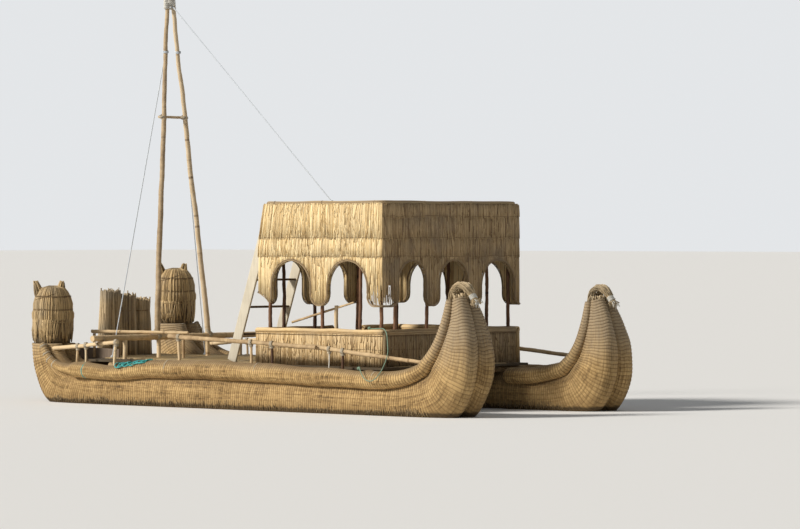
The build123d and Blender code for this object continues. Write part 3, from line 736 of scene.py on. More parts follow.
def addCurlReeds(side, label):
    number = curl["reeds"]
    spread = chance.random(number) * wholeTurn
    depth = np.sqrt(chance.uniform(0.45, 1.0, number))
    wide, high = depth * np.cos(spread), depth * np.sin(spread)
    rows = denseRows(curl["rows"], 8)
    rows = evenPath(np.column_stack([rows[:, 0], np.zeros(len(rows)), rows[:, 1:]]),
                    curl["stations"])
    x, _, z, slope, halfHigh, halfWide = (rows[:, k] for k in range(6))
    lean = np.radians(slope)
    shift = chance.normal(0, curl["wander"], (number, curl["stations"], 3))
    topX, topY, topZ = prowTop(side)
    paths = np.stack([
        topX + x - high[:, None] * halfHigh * np.sin(lean),
        topY + wide[:, None] * halfWide,
        topZ + z + high[:, None] * halfHigh * np.cos(lean)], axis=-1) + shift
    paths[:, -1] += chance.normal(0, curl["frayedTip"], (number, 3))
    reeds = Bunch()
    reeds.tubes(paths, curl["radius"] * chance.uniform(0.75, 1.3, (number, 1)), 5,
                np.array((0, 1.0, 0)))
    reeds.piece(f"prowCurl_{label}", "curl", "roll_reed", f"prow_curl_{label}")


def addCurlKnot(side, label):
    ropes, rope = Bunch(), curl["knotRope"]
    x, z, slope, halfHigh, halfWide = curl["rows"][curl["knotRow"]]
    lean = math.radians(slope)
    centre = prowTop(side) + (x, 0, z)
    turn = np.linspace(0, wholeTurn * curl["knotTurns"], 90)
    slide = (turn / wholeTurn - curl["knotTurns"] / 2) * curl["knotPitch"]
    ring = np.stack([
        slide * math.cos(lean) - np.sin(turn) * (halfHigh + rope) * math.sin(lean),
        np.cos(turn) * (halfWide + rope),
        slide * math.sin(lean) + np.sin(turn) * (halfHigh + rope) * math.cos(lean)], axis=1)
    ropes.tubes([centre + ring], rope * 0.8, 5, np.array((math.cos(lean), 0, math.sin(lean))))
    for _ in range(curl["ropeEnds"]):
        start = centre + (0.05, chance.uniform(-0.07, 0.07), -0.03)
        drop = np.array((chance.uniform(0.0, 0.09), chance.uniform(-0.07, 0.07),
                         chance.uniform(-0.15, -0.06)))
        bend = start + drop * 0.5 + (chance.uniform(0, 0.03), 0, 0.01)
        ropes.tubes([smoothPath([start, bend, start + drop], 7)], curl["ropeEndRadius"], 5)
    ropes.piece(f"curlKnot_{label}", "rope", "pale_line")


def addCutReeds(side, label):
    # cut reed ends in the prow's top
    cut, number = Bunch(), curl["cutReeds"]
    angle = chance.random(number) * wholeTurn
    depth = np.sqrt(chance.random(number))
    _, _, slope, halfDeep, halfFull = hull["rows"][-1][:5]
    lean = math.radians(slope)
    rise, out = depth * np.sin(angle) * halfDeep * 0.9, depth * np.cos(angle) * halfFull * 0.95
    run, foot = np.array((math.cos(lean), 0, math.sin(lean))), curl["cutFoot"]
    topX, topY, topZ = prowTop(side)
    starts = np.stack([topX - rise * math.sin(lean) - foot * run[0], topY + out,
                       topZ + rise * math.cos(lean) - foot * run[2]], axis=1)
    ends = starts + chance.uniform(*curl["cutLength"], (number, 1)) * run
    ends += chance.normal(0, 0.012, (number, 3))
    cut.straight(starts, ends, chance.uniform(*curl["cutRadius"], number), 5, 0.004)
    cut.piece(f"prowReeds_{label}", "curl", "roll_reed")


for side, label in sides.items():
    addCurlReeds(side, label)
    addCurlKnot(side, label)
    addCutReeds(side, label)
print("curls")


# Pavilion walls: rows of upright reeds on both faces, over arches with tongues between them
room = {"aft": 0.03, "fore": 2.96, "stbd": -1.70, "port": 1.90, "thick": 0.09, "foot": 1.82,
        "top": 3.55, "crown": 2.60, "tongue": 0.165, "deck": 0.79, "mat": 0.060,
        "lean": 0.12, "leanFoot": 2.88, "leanReach": 1.6, "seams": [3.36, 2.99, 2.67],
        "pitch": 0.0118, "radius": 0.0088, "jitter": 0.003, "sway": 0.008, "flare": (0.001, 0.007),
        "strays": 340, "strayRadius": (0.004, 0.0075), "strayLength": (0.12, 0.38),
        "corePitch": 0.026, "coreRadius": 0.018, "coreDepth": 0.03, "tearTop": 2.62,
        "coreTear": 0.35, "seamRadius": 0.004,
        "sideArches": [(0.82, 0.93), (2.15, 0.93)],
        "endArches": [(-0.93, 0.72), (0.145, 0.75), (1.32, 0.90)],
        "notch": 0.22, "notchReach": {"stbd": (0.03, 0.27), "aft": (-1.70, 0.30)}}
halfWall = room["thick"] / 2
insideAft, insideFore = room["aft"] + room["thick"], room["fore"] - room["thick"]
sideSpan, endSpan = (insideAft - 0.08, insideFore + 0.08), (room["stbd"], room["port"])
walls = {
    "stbd": {"alongX": True, "span": sideSpan, "face": room["stbd"], "outward": -1, "finish": "wall",
             "arches": room["sideArches"], "inset": 0, "tear": {"from": 2.64, "way": 1, "fray": 0.30}},
    "port": {"alongX": True, "span": sideSpan, "face": room["port"], "outward": 1, "finish": "wall",
             "arches": room["sideArches"], "inset": 0, "tear": None},
    "aft": {"alongX": False, "span": endSpan, "face": room["aft"], "outward": -1, "finish": "wall",
            "arches": room["endArches"], "inset": 0.01, "tear": None},
    # the fore wall wears the painted-shade copy of the wall reeds
    "fore": {"alongX": False, "span": endSpan, "face": room["fore"], "outward": 1,
             "finish": "wallPaintedShade", "arches": room["endArches"], "inset": 0.01,
             "tear": {"from": -1.33, "way": -1, "fray": 0.42}},
}


def notched(label, places, edge):
    # the mats are cut away higher up at the aft starboard corner
    if label in room["notchReach"]:
        corner, reach = room["notchReach"][label]
        share = (1 - np.abs(places - corner) / reach).clip(0, 1)
        edge = np.maximum(edge, room["foot"] + room["notch"] * np.sqrt(share))
    return edge


def tongueTurn(arches, middle, half, way):
    # radius at the foot of an arch's side: half the tongue where another arch is next to it
    gaps = [(other - middle) * way - half - width / 2 for other, width in arches]
    gaps = [gap for gap in gaps if gap > 0]
    if gaps:
        return min(gaps) / 2 - 0.002
    corner = room["port"] - middle - half if way > 0 and arches is room["endArches"] else 1.0
    return min(room["tongue"], corner - 0.005)


def lowEdge(places, arches):
    # z of the walls' lower edge at each place along them
    edge = np.full(len(places), room["foot"])
    for middle, width in arches:
        half = width / 2
        offset = np.abs(places - middle)
        inside = offset < half
        spring = room["crown"] - half
        edge[inside] = spring + np.sqrt(half ** 2 - offset[inside] ** 2)
        for way in (-1, 1):
            turn = tongueTurn(arches, middle, half, way)
            gap = (places - middle) * way - half
            near = (gap >= 0) & (gap < turn)
            edge[near] = np.maximum(edge[near], room["foot"] + turn - np.sqrt(
                turn ** 2 - (turn - gap[near]) ** 2))
    return edge


def wallPoint(alongX, places, depth, z):
    # depth is the place across the wall
    depth, places, z = np.broadcast_arrays(depth, places, z)
    return np.stack([places, depth, z], axis=-1) if alongX else np.stack([depth, places, z], axis=-1)


def seamWave(places, seam):
    if seam in room["seams"]:
        number = room["seams"].index(seam)
        return 0.011 * np.sin(places * 5.1 + number * 2.0) * np.sin(places * 2.3 + number) - np.where(
            np.sin(places * 3.7 + 1.3 * number) > 0.93, 0.02, 0.0)
    return places * 0.0


def leaned(points):
    # above the roof floor the aft walls lean forward
    points = np.array(points, dtype=float)
    rise = ((points[..., 2] - room["leanFoot"]) / (room["top"] - room["leanFoot"])).clip(0, 1.2)
    share = ((room["leanReach"] - points[..., 0]) / room["leanReach"]).clip(0, 1)
    points[..., 0] += room["lean"] * rise * share
    return points


def matSpan(wall):
    return wall["span"][0] + wall["inset"], wall["span"][1] - wall["inset"]


def mats(wall):
    # depth across the wall and outward way of its two mats
    face, outward = wall["face"], wall["outward"]
    return (face, outward), (face - outward * room["mat"], -outward)


def tornEdge(tear, places, edge, raised):
    # the mats are torn off higher up beyond one place
    ragged = places * tear["way"] > tear["from"] * tear["way"]
    return np.where(ragged, np.minimum(edge + raised, room["tearTop"]), edge)


def addMatReeds(reeds, label, wall, layer, way, top, bottom):
    # the reeds of one mat between two seams
    alongX, tear, radius = wall["alongX"], wall["tear"], room["radius"]
    start, end = matSpan(wall)
    count = int((end - start) / room["pitch"])
    places = np.linspace(start + 0.004, end - 0.004, count) + chance.normal(0, room["jitter"], count)
    places = places.clip(start, end)
    edge = notched(label, places, lowEdge(places, wall["arches"])) + chance.normal(0.004, 0.008, count)
    if tear:
        edge = tornEdge(tear, places, edge, np.abs(chance.normal(0, tear["fray"], count)))
    low = np.maximum(edge, bottom + seamWave(places, bottom) - chance.uniform(0.0, 0.03, count))
    high = top + seamWave(places, top) + chance.uniform(0.0, 0.04, count)
    keep = high - low > 0.035
    places, low, high = places[keep], low[keep], high[keep]
    count = len(places)
    sway = chance.normal(0, room["sway"], count)
    flare = chance.uniform(*room["flare"], count)
    starts = wallPoint(alongX, places + sway, layer + way * (flare - radius), low)
    ends = wallPoint(alongX, places, layer - way * (radius + 0.002), high)
    middles = (starts + ends) / 2
    middles[:, 1 if alongX else 0] += way * chance.uniform(-0.001, 0.005, count)
    widths = chance.uniform(0.75, 1.25, (count, 1)) * radius * np.array((0.8, 1.05, 0.95))
    reeds.tubes(leaned(np.stack([starts, middles, ends], axis=1)), widths, 4)


def addStrays(reeds, label, wall):
    # stray reeds lie a little aslant over the outer face
    alongX, face, outward, count = wall["alongX"], wall["face"], wall["outward"], room["strays"]
    start, end = matSpan(wall)
    places = chance.uniform(start + 0.05, end - 0.05, count)
    edge = notched(label, places, lowEdge(places, wall["arches"]))
    low = edge + (room["top"] - edge) * chance.uniform(0, 0.93, count)
    length = np.minimum(chance.uniform(*room["strayLength"], count), room["top"] - low + 0.02)
    slant = chance.normal(0, 0.045, count)
    starts = wallPoint(alongX, places, face + outward * 0.003, low)
    ends = wallPoint(alongX, (places + slant).clip(start, end), face - outward * 0.001, low + length)
    reeds.tubes(leaned(np.stack([starts, (starts + ends) / 2, ends], axis=1)),
                chance.uniform(*room["strayRadius"], (count, 1)), 4)


def addCore(reeds, label, wall):
    # fat reeds between the two faces keep the light out
    start, end = matSpan(wall)
    places = np.arange(start + 0.01, end - 0.01, room["corePitch"])
    edge = notched(label, places, lowEdge(places, wall["arches"])) + 0.012
    if wall["tear"]:
        edge = tornEdge(wall["tear"], places, edge, room["coreTear"])
    rise = edge[:, None] + np.linspace(0, 1, 6) * (room["top"] - edge)[:, None]
    depth = wall["face"] - wall["outward"] * room["coreDepth"]
    reeds.tubes(leaned(wallPoint(wall["alongX"], places[:, None], depth, rise)), room["coreRadius"], 4)


def addSeams(label, wall, levels):
    seams = Bunch()
    places = np.linspace(*matSpan(wall), 60)
    for layer, way in mats(wall):
        for seam in levels:
            z = seam + 0.004 + seamWave(places, seam) + ripples(places, 0.0, 0.003, int(seam * 100))
            path = wallPoint(wall["alongX"], places, layer + way * 0.002, z)
            seams.tubes(leaned([path]), room["seamRadius"], 4)
    seams.piece(f"wallSeams_{label}", "twine", "mat_reed")


def addUpperWall(label, wall):
    reeds = Bunch()
    levels = room["seams"][1:] if label == "stbd" else room["seams"]
    for layer, way in mats(wall):
        for top, bottom in zip([room["top"]] + levels, levels + [0.0]):
            addMatReeds(reeds, label, wall, layer, way, top, bottom)
    addStrays(reeds, label, wall)
    addCore(reeds, label, wall)
    reeds.piece(f"upperWall_{label}", wall["finish"], "mat_reed", f"upper_wall_{label}")
    addSeams(label, wall, levels)


# Hoops along the mats' lower edges, with small ties that hold them to the reeds
hoop = {
    # how far outside the edge, radius and how proud of the mat
    "rows": [(0.002, 0.009, 0.007), (-0.017, 0.0075, 0.005)],
    "tieInset": -0.008, "tieEach": 6, "tieRadius": 0.0035, "tieReach": 0.017, "tieRise": 0.020,
    "tieSlide": 0.0012,
}


def hoopPath(start, end, arches, inset):
    # the walls' lower edge as a line of points
    foot = room["foot"] - inset
    points = [(start, foot)]
    for middle, width in arches:
        half = width / 2 - inset
        spring = room["crown"] - width / 2
        before, after = (tongueTurn(arches, middle, width / 2, way) + inset for way in (-1, 1))
        sweep = np.linspace(0, math.pi / 2, 9)
        points += [(middle - half - before + before * math.sin(a),
                    foot + before - before * math.cos(a)) for a in sweep]
        points += [(middle - half, foot + before + (spring - foot - before) * k / 4)
                   for k in range(1, 5)]
        points += [(middle - half * math.cos(a), spring + half * math.sin(a))
                   for a in np.linspace(0, math.pi, 21)[1:]]
        points += [(middle + half, spring + (foot + after - spring) * k / 4) for k in range(1, 5)]
        points += [(middle + half + after - after * math.cos(a),
                    foot + after - after * math.sin(a)) for a in sweep[1:]]
    points.append((end, foot))
    line = [points[0]]
    for point in points[1:]:
        if point[0] > line[-1][0] - 0.001 and math.dist(point, line[-1]) > 0.006:
            line.append(point)
    return np.array(line)


def hoopLine(label, wall, inset):
    line = hoopPath(*wall["span"], wall["arches"], inset)
    line[:, 1] = notched(label, line[:, 0], line[:, 1])
    return line


def addHoops(label, wall):
    hoops, alongX = Bunch(), wall["alongX"]
    (face, _), (inner, _) = mats(wall)
    normal = np.array((0, 1.0, 0)) if alongX else np.array((1.0, 0, 0))
    for layer, way in mats(wall):
        for inset, radius, proud in hoop["rows"]:
            line = hoopLine(label, wall, inset)
            along = np.arange(len(line)) * 0.3
            wobble = ripples(along, 0.0, 0.003, int(200 + 100 * proud + face * 10))
            path = wallPoint(alongX, line[:, 0], layer + way * (proud + wobble), line[:, 1])
            hoops.tubes([path], radius, 6, normal)
    turn = np.linspace(0, 2 * wholeTurn, 17)
    across = np.cos(turn) * (room["mat"] / 2 + hoop["tieReach"])
    rise = np.sin(turn) * hoop["tieRise"]
    for place in hoopLine(label, wall, hoop["tieInset"])[::hoop["tieEach"]]:
        path = wallPoint(alongX, place[0] + turn * hoop["tieSlide"] + rise * 0.4,
                         (face + inner) / 2 + across, place[1] + rise)
        hoops.tubes([path], hoop["tieRadius"], 4, normal * 0.2 + (0.3, 0.3, 0.9))
    hoops.piece(f"archHoops_{label}", "hoop", "hoop_reed", f"arch_rim_{label}")


for label, wall in walls.items():
    addUpperWall(label, wall)
for label, wall in walls.items():
    addHoops(label, wall)
print("upper walls")


def bundleRoll(bunch, path, radius, count, reedRadius, twist=0.6, closed=False, seed=5):
    # a roll of long reeds side by side round a path
    path = np.asarray(path, dtype=float)
    ahead = unit(np.gradient(path, axis=0))
    if closed:
        ahead[0] = ahead[-1] = unit(path[1] - path[-2])
    across = unit(np.cross(ahead, upright))
    upward = np.cross(across, ahead)
    places = reachAlong(path)
    for number in range(count):
        turn = wholeTurn * number / count + twist * np.sin(places * 0.7 + number * 0.4) * 0.4
        reach = (radius - reedRadius) * (1 + ripples(places, number * 1.0, 0.04, seed + number))
        if closed:
            turn[-1], reach[-1] = turn[0], reach[0]
        tube = path + reach[:, None] * (np.cos(turn)[:, None] * across
                                        + np.sin(turn)[:, None] * upward)
        bunch.tubes([tube], reedRadius * chance.uniform(0.85, 1.2), 5, upright)


def lashing(bunch, centre, axis, radius, turns=4, rope=0.006, tilt=0.15):
    # turns of thin rope round a joint
    axis = unit(np.asarray(axis, dtype=float))
    side = unit(np.cross(axis, (0.31, 0.17, 0.93)))
    other = np.cross(axis, side)
    steps = 12 * turns + 1
    turn = np.linspace(0, wholeTurn * turns, steps)
    slide = (np.arange(steps) / (steps - 1) - 0.5) * turns * rope * 2.05
    slide = slide + tilt * radius * np.sin(turn + 0.7)
    wide = radius + rope * 0.7
    path = (np.asarray(centre) + slide[:, None] * axis + wide * np.cos(turn)[:, None] * side
            + wide * np.sin(turn)[:, None] * other)
    bunch.tubes([path], rope, 5, axis)


# Roll along the top of the walls
topRoll = {"radius": 0.036, "reeds": 9, "reedRadius": 0.013, "step": 0.11, "swell": 0.004,
           "tieEach": 11, "tieRope": 0.003}


def roundedLoop(x0, y0, x1, y1, corner, z, step):
    points = []
    for cx, cy, start in ((x1 - corner, y1 - corner, 0), (x0 + corner, y1 - corner, 90),
                          (x0 + corner, y0 + corner, 180), (x1 - corner, y0 + corner, 270)):
        points += [(cx + corner * math.cos(math.radians(start + a)),
                    cy + corner * math.sin(math.radians(start + a)), z)
                   for a in (0, 22.5, 45, 67.5, 90)]
    points.append(points[0])
    line = np.array(points)
    return evenPath(line, int(gapsAlong(line).sum() / step))


def addTopRoll():
    path = roundedLoop(room["aft"] + halfWall, room["stbd"] + halfWall, room["fore"] - halfWall,
                       room["port"] - halfWall, room["thick"], room["top"] + topRoll["radius"],
                       topRoll["step"])
    path[:, 2] += ripples(np.arange(len(path)) * 0.12, 0.0, topRoll["swell"], 9)
    path[-1] = path[0]
    path = leaned(path)
    reeds = Bunch()
    bundleRoll(reeds, path, topRoll["radius"] + topRoll["swell"], topRoll["reeds"],
               topRoll["reedRadius"], closed=True, seed=300)
    for place in range(4, len(path) - 2, topRoll["tieEach"]):
        lashing(reeds, path[place], path[place + 1] - path[place], topRoll["radius"] + 0.002, 2,
                topRoll["tieRope"])
    reeds.piece("topRoll", "hoop", "mat_reed", "top_roll")


addTopRoll()


# Parapets: low walls of upright reeds under a rounded cap of long ones
parapet = {"top": 1.43, "cap": 0.058, "overhang": 0.06, "entrance": (0.15, 0.95),
           "reeds": 13, "reedRadius": 0.017, "radius": 0.0105, "pitch": 0.0142, "jitter": 0.003,
           "sway": 0.009, "strays": 55, "strayRadius": (0.004, 0.007), "strayLength": (0.10, 0.15),
           "corePitch": 0.03, "coreRadius": 0.028, "capStep": 0.12, "line": 1.08,
           "lineRadius": 0.0035, "capLine": 0.05, "capLineRadius": 0.005}
capFoot = parapet["top"] - parapet["cap"]


def addParapetFace(reeds, lines, alongX, layer, way, start, end):
    radius = parapet["radius"]
    count = int((end - start) / parapet["pitch"])
    places = np.linspace(start + 0.006, end - 0.006, count)
    places = (places + chance.normal(0, parapet["jitter"], count)).clip(start, end)
    flare = 0.001 + chance.uniform(0, 0.006, count) - radius
    starts = wallPoint(alongX, places + chance.normal(0, parapet["sway"], count),
                       layer + way * flare, room["deck"])
    ends = wallPoint(alongX, places, layer - way * (radius + 0.003), capFoot)
    reeds.straight(starts, ends, radius * chance.uniform(0.75, 1.2, count), 4, 0.003)
    # stray reeds over the face
    count = int((end - start) * parapet["strays"])
    places = chance.uniform(start + 0.05, end - 0.05, count)
    low = chance.uniform(room["deck"], capFoot - 0.15, count)
    starts = wallPoint(alongX, places, layer + way * 0.003, low)
    ends = wallPoint(alongX, places + chance.normal(0, 0.03, count), layer - way * 0.002,
                     low + chance.uniform(*parapet["strayLength"], count))
    reeds.straight(starts, ends, chance.uniform(*parapet["strayRadius"], count), 4)
    places = np.linspace(start, end, 30)
    wave = parapet["line"] + ripples(np.linspace(0, 3, 30), 0.0, 0.006, 77)
    lines.tubes([wallPoint(alongX, places, layer + way * 0.001, wave)], parapet["lineRadius"], 4)
    lines.tubes([wallPoint(alongX, places, layer + way * 0.006, capFoot - parapet["capLine"])],
                parapet["capLineRadius"], 4)


def addParapet(label, alongX, middle, spans, finish="parapet"):
    reeds, caps, lines = Bunch(), Bunch(), Bunch()
    for start, end in spans:
        for way in (-1, 1):
            addParapetFace(reeds, lines, alongX, middle + way * (halfWall - 0.002), way, start, end)
        places = np.linspace(start + 0.01, end - 0.01, int((end - start) / parapet["corePitch"]))
        reeds.straight(wallPoint(alongX, places, middle, room["deck"]),
                       wallPoint(alongX, places, middle, capFoot), parapet["coreRadius"], 4)
        places = np.linspace(start, end, int((end - start) / parapet["capStep"]) + 2)
        path = wallPoint(alongX, places, middle, capFoot)
        path[:, 2] += ripples(np.arange(len(path)) * 0.14, 0.0, 0.004, 21)
        bundleRoll(caps, path, parapet["cap"], parapet["reeds"], parapet["reedRadius"], seed=400)
    reeds.piece(f"parapetReeds_{label}", finish, "parapet_reed", f"parapet_{label}")
    caps.piece(f"parapetCap_{label}", finish, "parapet_reed")
    lines.piece(f"parapetLines_{label}", "twine", "parapet_reed")


lowAft = room["aft"] - parapet["overhang"]
lowStbd, lowPort = room["stbd"] + halfWall + parapet["cap"], room["port"] - halfWall - parapet["cap"]
addParapet("stbd", True, room["stbd"] + halfWall, [(lowAft, room["fore"])])
addParapet("port", True, room["port"] - halfWall, [(lowAft, room["fore"])])
addParapet("aft", False, room["aft"] + halfWall, [(lowStbd, parapet["entrance"][0]),
                                                (parapet["entrance"][1], lowPort)])
# the fore parapet wears the painted-shade copy of the parapet reeds
addParapet("fore", False, room["fore"] - halfWall, [(lowStbd, lowPort)], "parapetPaintedShade")
print("parapets")


# Poles: barked and crooked, each shaped from a cone with more rings and two displacements
def textureFor(name, size):
    cloud = bpy.data.textures.new(name, "CLOUDS")
    cloud.noise_scale = size
    cloud.noise_depth = 2
    return cloud


poleShapes = {"crook": textureFor("poleCrook", 1.1), "bark": textureFor("poleBark", 0.07)}


def roughen(piece, name, cloud, strength, way="NORMAL"):
    # push the surface out and in by a cloud
    modifier = piece.modifiers.new(name, "DISPLACE")
    modifier.texture, modifier.direction, modifier.texture_coords = cloud, way, "GLOBAL"
    modifier.strength, modifier.mid_level = strength, 0.5
    bpy.ops.object.modifier_apply(modifier=name)


def barkPole(start, end, startRadius, endRadius=None, crook=0.03, bark=0.010):
    start, end = np.asarray(start, dtype=float), np.asarray(end, dtype=float)
    endRadius = startRadius if endRadius is None else endRadius
    length = float(np.linalg.norm(end - start))
    run = (end - start) / length
    bpy.ops.object.select_all(action="DESELECT")
    bpy.ops.mesh.primitive_cone_add(
        vertices=12, radius1=startRadius, radius2=endRadius, depth=length,
        location=(start + end) / 2,
        rotation=(0, math.acos(max(-1, min(1, run[2]))), math.atan2(run[1], run[0])))
    pole = bpy.context.active_object
    bpy.ops.object.transform_apply(location=True, rotation=True, scale=True)
    bpy.ops.object.mode_set(mode="EDIT")
    bpy.context.tool_settings.mesh_select_mode = (False, True, False)
    bpy.ops.mesh.select_all(action="DESELECT")
    bpy.ops.object.mode_set(mode="OBJECT")
    for edge in pole.data.edges:
        first, second = (pole.data.vertices[k].co for k in edge.vertices)
        edge.select = (first - second).length > length * 0.7
    bpy.ops.object.mode_set(mode="EDIT")
    bpy.ops.mesh.subdivide(number_cuts=max(3, int(length / 0.05)))
    bpy.ops.object.mode_set(mode="OBJECT")
    roughen(pole, "crook", poleShapes["crook"], crook, "RGB_TO_XYZ")
    roughen(pole, "bark", poleShapes["bark"], bark)
    points = np.empty(len(pole.data.vertices) * 3)
    pole.data.vertices.foreach_get("co", points)
    along = (points.reshape(-1, 3) - start) @ run
    addValues(pole.data, "along", along)
    addValues(pole.data, "tone", np.full(len(along), chance.random()))
    return pole


def joinPoles(name, poles, finish, slot, *replaced):
    bpy.ops.object.select_all(action="DESELECT")
    for pole in poles:
        pole.select_set(True)
    bpy.context.view_layer.objects.active = poles[0]
    if len(poles) > 1:
        bpy.ops.object.join()
    piece = bpy.context.active_object
    piece.name = piece.data.name = name
    bpy.ops.object.shade_smooth_by_angle(angle=math.radians(50))
    piece.select_set(False)
    dress(piece, finish)
    tag(piece, replaced)


rails = {
    "radius": 0.040, "taper": 0.85,
    "poles": [
        # x, outboard from the hull's centre plane and z of both ends
        (-5.05, 0.25, 0.95, -3.00, 0.43, 1.125),
        (-1.72, 0.43, 1.25, 1.85, 0.43, 1.12),
        (1.56, 0.348, 1.14, 4.25, 0.33, 0.90),
    ],
    "posts": [
        # rail, x, radius
        (0, -4.15, 0.026), (0, -3.915, 0.022), (0, -3.06, 0.030), (1, -1.47, 0.030),
        (1, 0.30, 0.026), (1, 0.80, 0.024), (2, 2.08, 0.022), (2, 2.39, 0.026),
    ],
    # posts 5 and 7 are painted shadow: dark posts where the rail posts cast their shadows on the
    # parapet
    "dark": [5, 7], "white": [6], "whiteShare": 0.5,
    "postFoot": 0.60, "rope": 0.0075, "slack": 0.004,
}


def railEnds(number, side):
    x0, out0, z0, x1, out1, z1 = rails["poles"][number]
    middle = hullMiddle(side)
    return np.array((x0, middle + side * out0, z0)), np.array((x1, middle + side * out1, z1))


def railPoint(number, side, x):
    start, end = railEnds(number, side)
    return start + (x - start[0]) / (end[0] - start[0]) * (end - start)


def onePole(name, finish, node, *shape):
    # a pole that is a piece of its own
    joinPoles(name, [barkPole(*shape)], finish, "pale_pole", node)


paleLines = Bunch()      # lashings of pale rope all over the boat


def addRails(side, label):
    joinPoles(f"rail_{label}", [barkPole(*railEnds(k, side), rails["radius"],
                                         rails["radius"] * rails["taper"], 0.035, 0.012)
                                for k in range(len(rails["poles"]))],
              "pole", "pale_pole", f"rail_{label}")
    props, shadowProps, whiteProps = [], [], []
    for post, (number, x, radius) in enumerate(rails["posts"]):
        top = railPoint(number, side, x)
        lean = chance.normal(0, 0.02)
        kind = shadowProps if post in rails["dark"] else whiteProps if post in rails["white"] else props
        slim = radius * (rails["whiteShare"] if post in rails["white"] else 1.0)
        kind.append(barkPole((top[0] + lean, top[1], rails["postFoot"]), top - (0, 0, 0.01),
                             slim, slim * 0.9, 0.02, 0.008))
        lashing(paleLines, top, (1, 0, 0.1), rails["radius"] + rails["slack"], 4, rails["rope"], 0.35)
        lashing(paleLines, top - (0, 0, 0.06), (0, 0, 1), radius + rails["slack"], 2, rails["rope"])
    joinPoles(f"railPosts_{label}", props, "pole", "pale_pole", f"rail_posts_{label}")
    # dark posts: painted shadow of the rail posts on the parapet
    joinPoles(f"railPostsPaintedShadow_{label}", shadowProps, "post", "dark_post")
    joinPoles(f"railPostsWhite_{label}", whiteProps, "rope", "pale_pole")


for side, label in sides.items():
    addRails(side, label)
print("rails")


# Mast: two legs on a beam that lies on the rails
mast = {
    "footX": -3.52, "footHalf": 0.67, "headX": -3.89, "headZ": 7.56, "legRadius": 0.054,
    "tipRadius": 0.037, "legGap": 0.044, "beamHalf": 2.30, "beamRadius": 0.055,
    "spreaderZ": 5.20, "spreaderRadius": 0.024, "stay": 0.011, "strandPitch": 0.07,
    "props": [-1.50, -0.64, 0.64, 1.50], "propRadius": 0.040,
    "forestayDrop": 0.25, "shroudZ": 6.40, "shroudFoot": (-4.15, 1.20), "lashZ": (7.19, 7.45),
    "lashRounds": 13, "lashRope": 0.011, "footRope": 0.008, "knotRope": 0.009,
    "knotTurns": (0.0, 0.9, 1.8, 2.6),
}
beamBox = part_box("mast_beam")
beamAxis = (beamBox[0][2] + beamBox[1][2]) / 2
legFoot = beamAxis + mast["beamRadius"]


def legPoint(z, side):
    share = (z - beamAxis) / (mast["headZ"] - beamAxis)
    half = mast["footHalf"] + share * (mast["legGap"] - mast["footHalf"])
    return np.array((mast["footX"] + share * (mast["headX"] - mast["footX"]), side * half, z))


def twistedRope(bunch, start, end, radius):
    # three strands round a straight line
    start, end = np.asarray(start, dtype=float), np.asarray(end, dtype=float)
    length, pitch = np.linalg.norm(end - start), mast["strandPitch"]
    share = np.linspace(0, 1, int(length / pitch * 6) + 2)
    line = start + share[:, None] * (end - start)
    run = (end - start) / length
    first = unit(np.cross(run, (0.2, 0.9, 0.3)))
    second = np.cross(run, first)
    for strand in range(3):
        turn = share * length / pitch * 2 * math.pi + strand * 2.094
        path = line + radius * 0.5 * (np.cos(turn)[:, None] * first + np.sin(turn)[:, None] * second)
        bunch.tubes([path], radius * 0.58, 4, run + first * 0.5)


def addMastPoles():
    for side, label in sides.items():
        onePole(f"mastLeg_{label}", "mast", f"mast_leg_{label}", legPoint(legFoot - 0.01, side),
                legPoint(mast["headZ"], side), mast["legRadius"], mast["tipRadius"], 0.045, 0.012)
    x, half = mast["footX"], mast["beamHalf"]
    onePole("mastBeam", "pole", "mast_beam", (x, -half, beamAxis), (x, half, beamAxis),
            mast["beamRadius"], mast["beamRadius"] * 0.94, 0.01, 0.010)
    joinPoles("mastBeamProps", [barkPole((x, y, room["deck"]), (x, y, beamAxis - 0.045),
                                         mast["propRadius"]) for y in mast["props"]],
              "pole", "pale_pole", "mast_beam_props")
    low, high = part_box("mast_spreader")
    x, z = (low[0] + high[0]) / 2, mast["spreaderZ"]
    onePole("mastSpreader", "mast", "mast_spreader", (x, low[1], z), (x, high[1], z),
            mast["spreaderRadius"], None, 0.01)


def addMastLashings():
    for side in sides:
        leg = legPoint(mast["spreaderZ"], side)
        for slope in (0.6, -0.6):
            lashing(paleLines, leg - (0.022, 0, 0), (0, side * slope, 1), 0.058, 3, 0.006, 0.5)
        foot = legPoint(legFoot + 0.02, side)
        lashing(paleLines, foot, (0.35, 0, 1), 0.066, 3, mast["footRope"], 0.6)
        lashing(paleLines, foot - (0, 0, 0.06), (0, 1, 0), 0.062, 5, mast["footRope"], 0.1)
        rail = railPoint(0, side, mast["footX"])
        lashing(paleLines, rail + (0, 0, 0.045), (0.7, side * 0.6, 0.1), 0.082, 4,
                mast["footRope"], 0.2)


def addMasthead():
    head = Bunch()
    low, high = mast["lashZ"]
    turn = np.linspace(0, wholeTurn, 25)
    for number, z in enumerate(np.linspace(low, high, mast["lashRounds"])):
        spread = abs(legPoint(z, 1)[1])
        tilt = 0.012 * math.sin(number * 2.1)
        addRing(head, legPoint(z, 0), turn, 0.062, spread + 0.058,
                0.020 * turn / 6.28 + tilt * np.cos(turn), mast["lashRope"])
    for way in (1, -1):
        lashing(head, legPoint((low + high) / 2, 0), (0, way * 0.35, 1), 0.092, 3, 0.010, 0.3)
    head.piece("mastheadLashing", "rope", "pale_line", "masthead_lashing")


def footKnot(bunch, foot, reach):
    # rounds of rope at a stay's foot, each across the others
    for turn in mast["knotTurns"]:
        lashing(bunch, foot, (math.cos(turn), math.sin(turn), 0.2), reach, 1, mast["knotRope"])


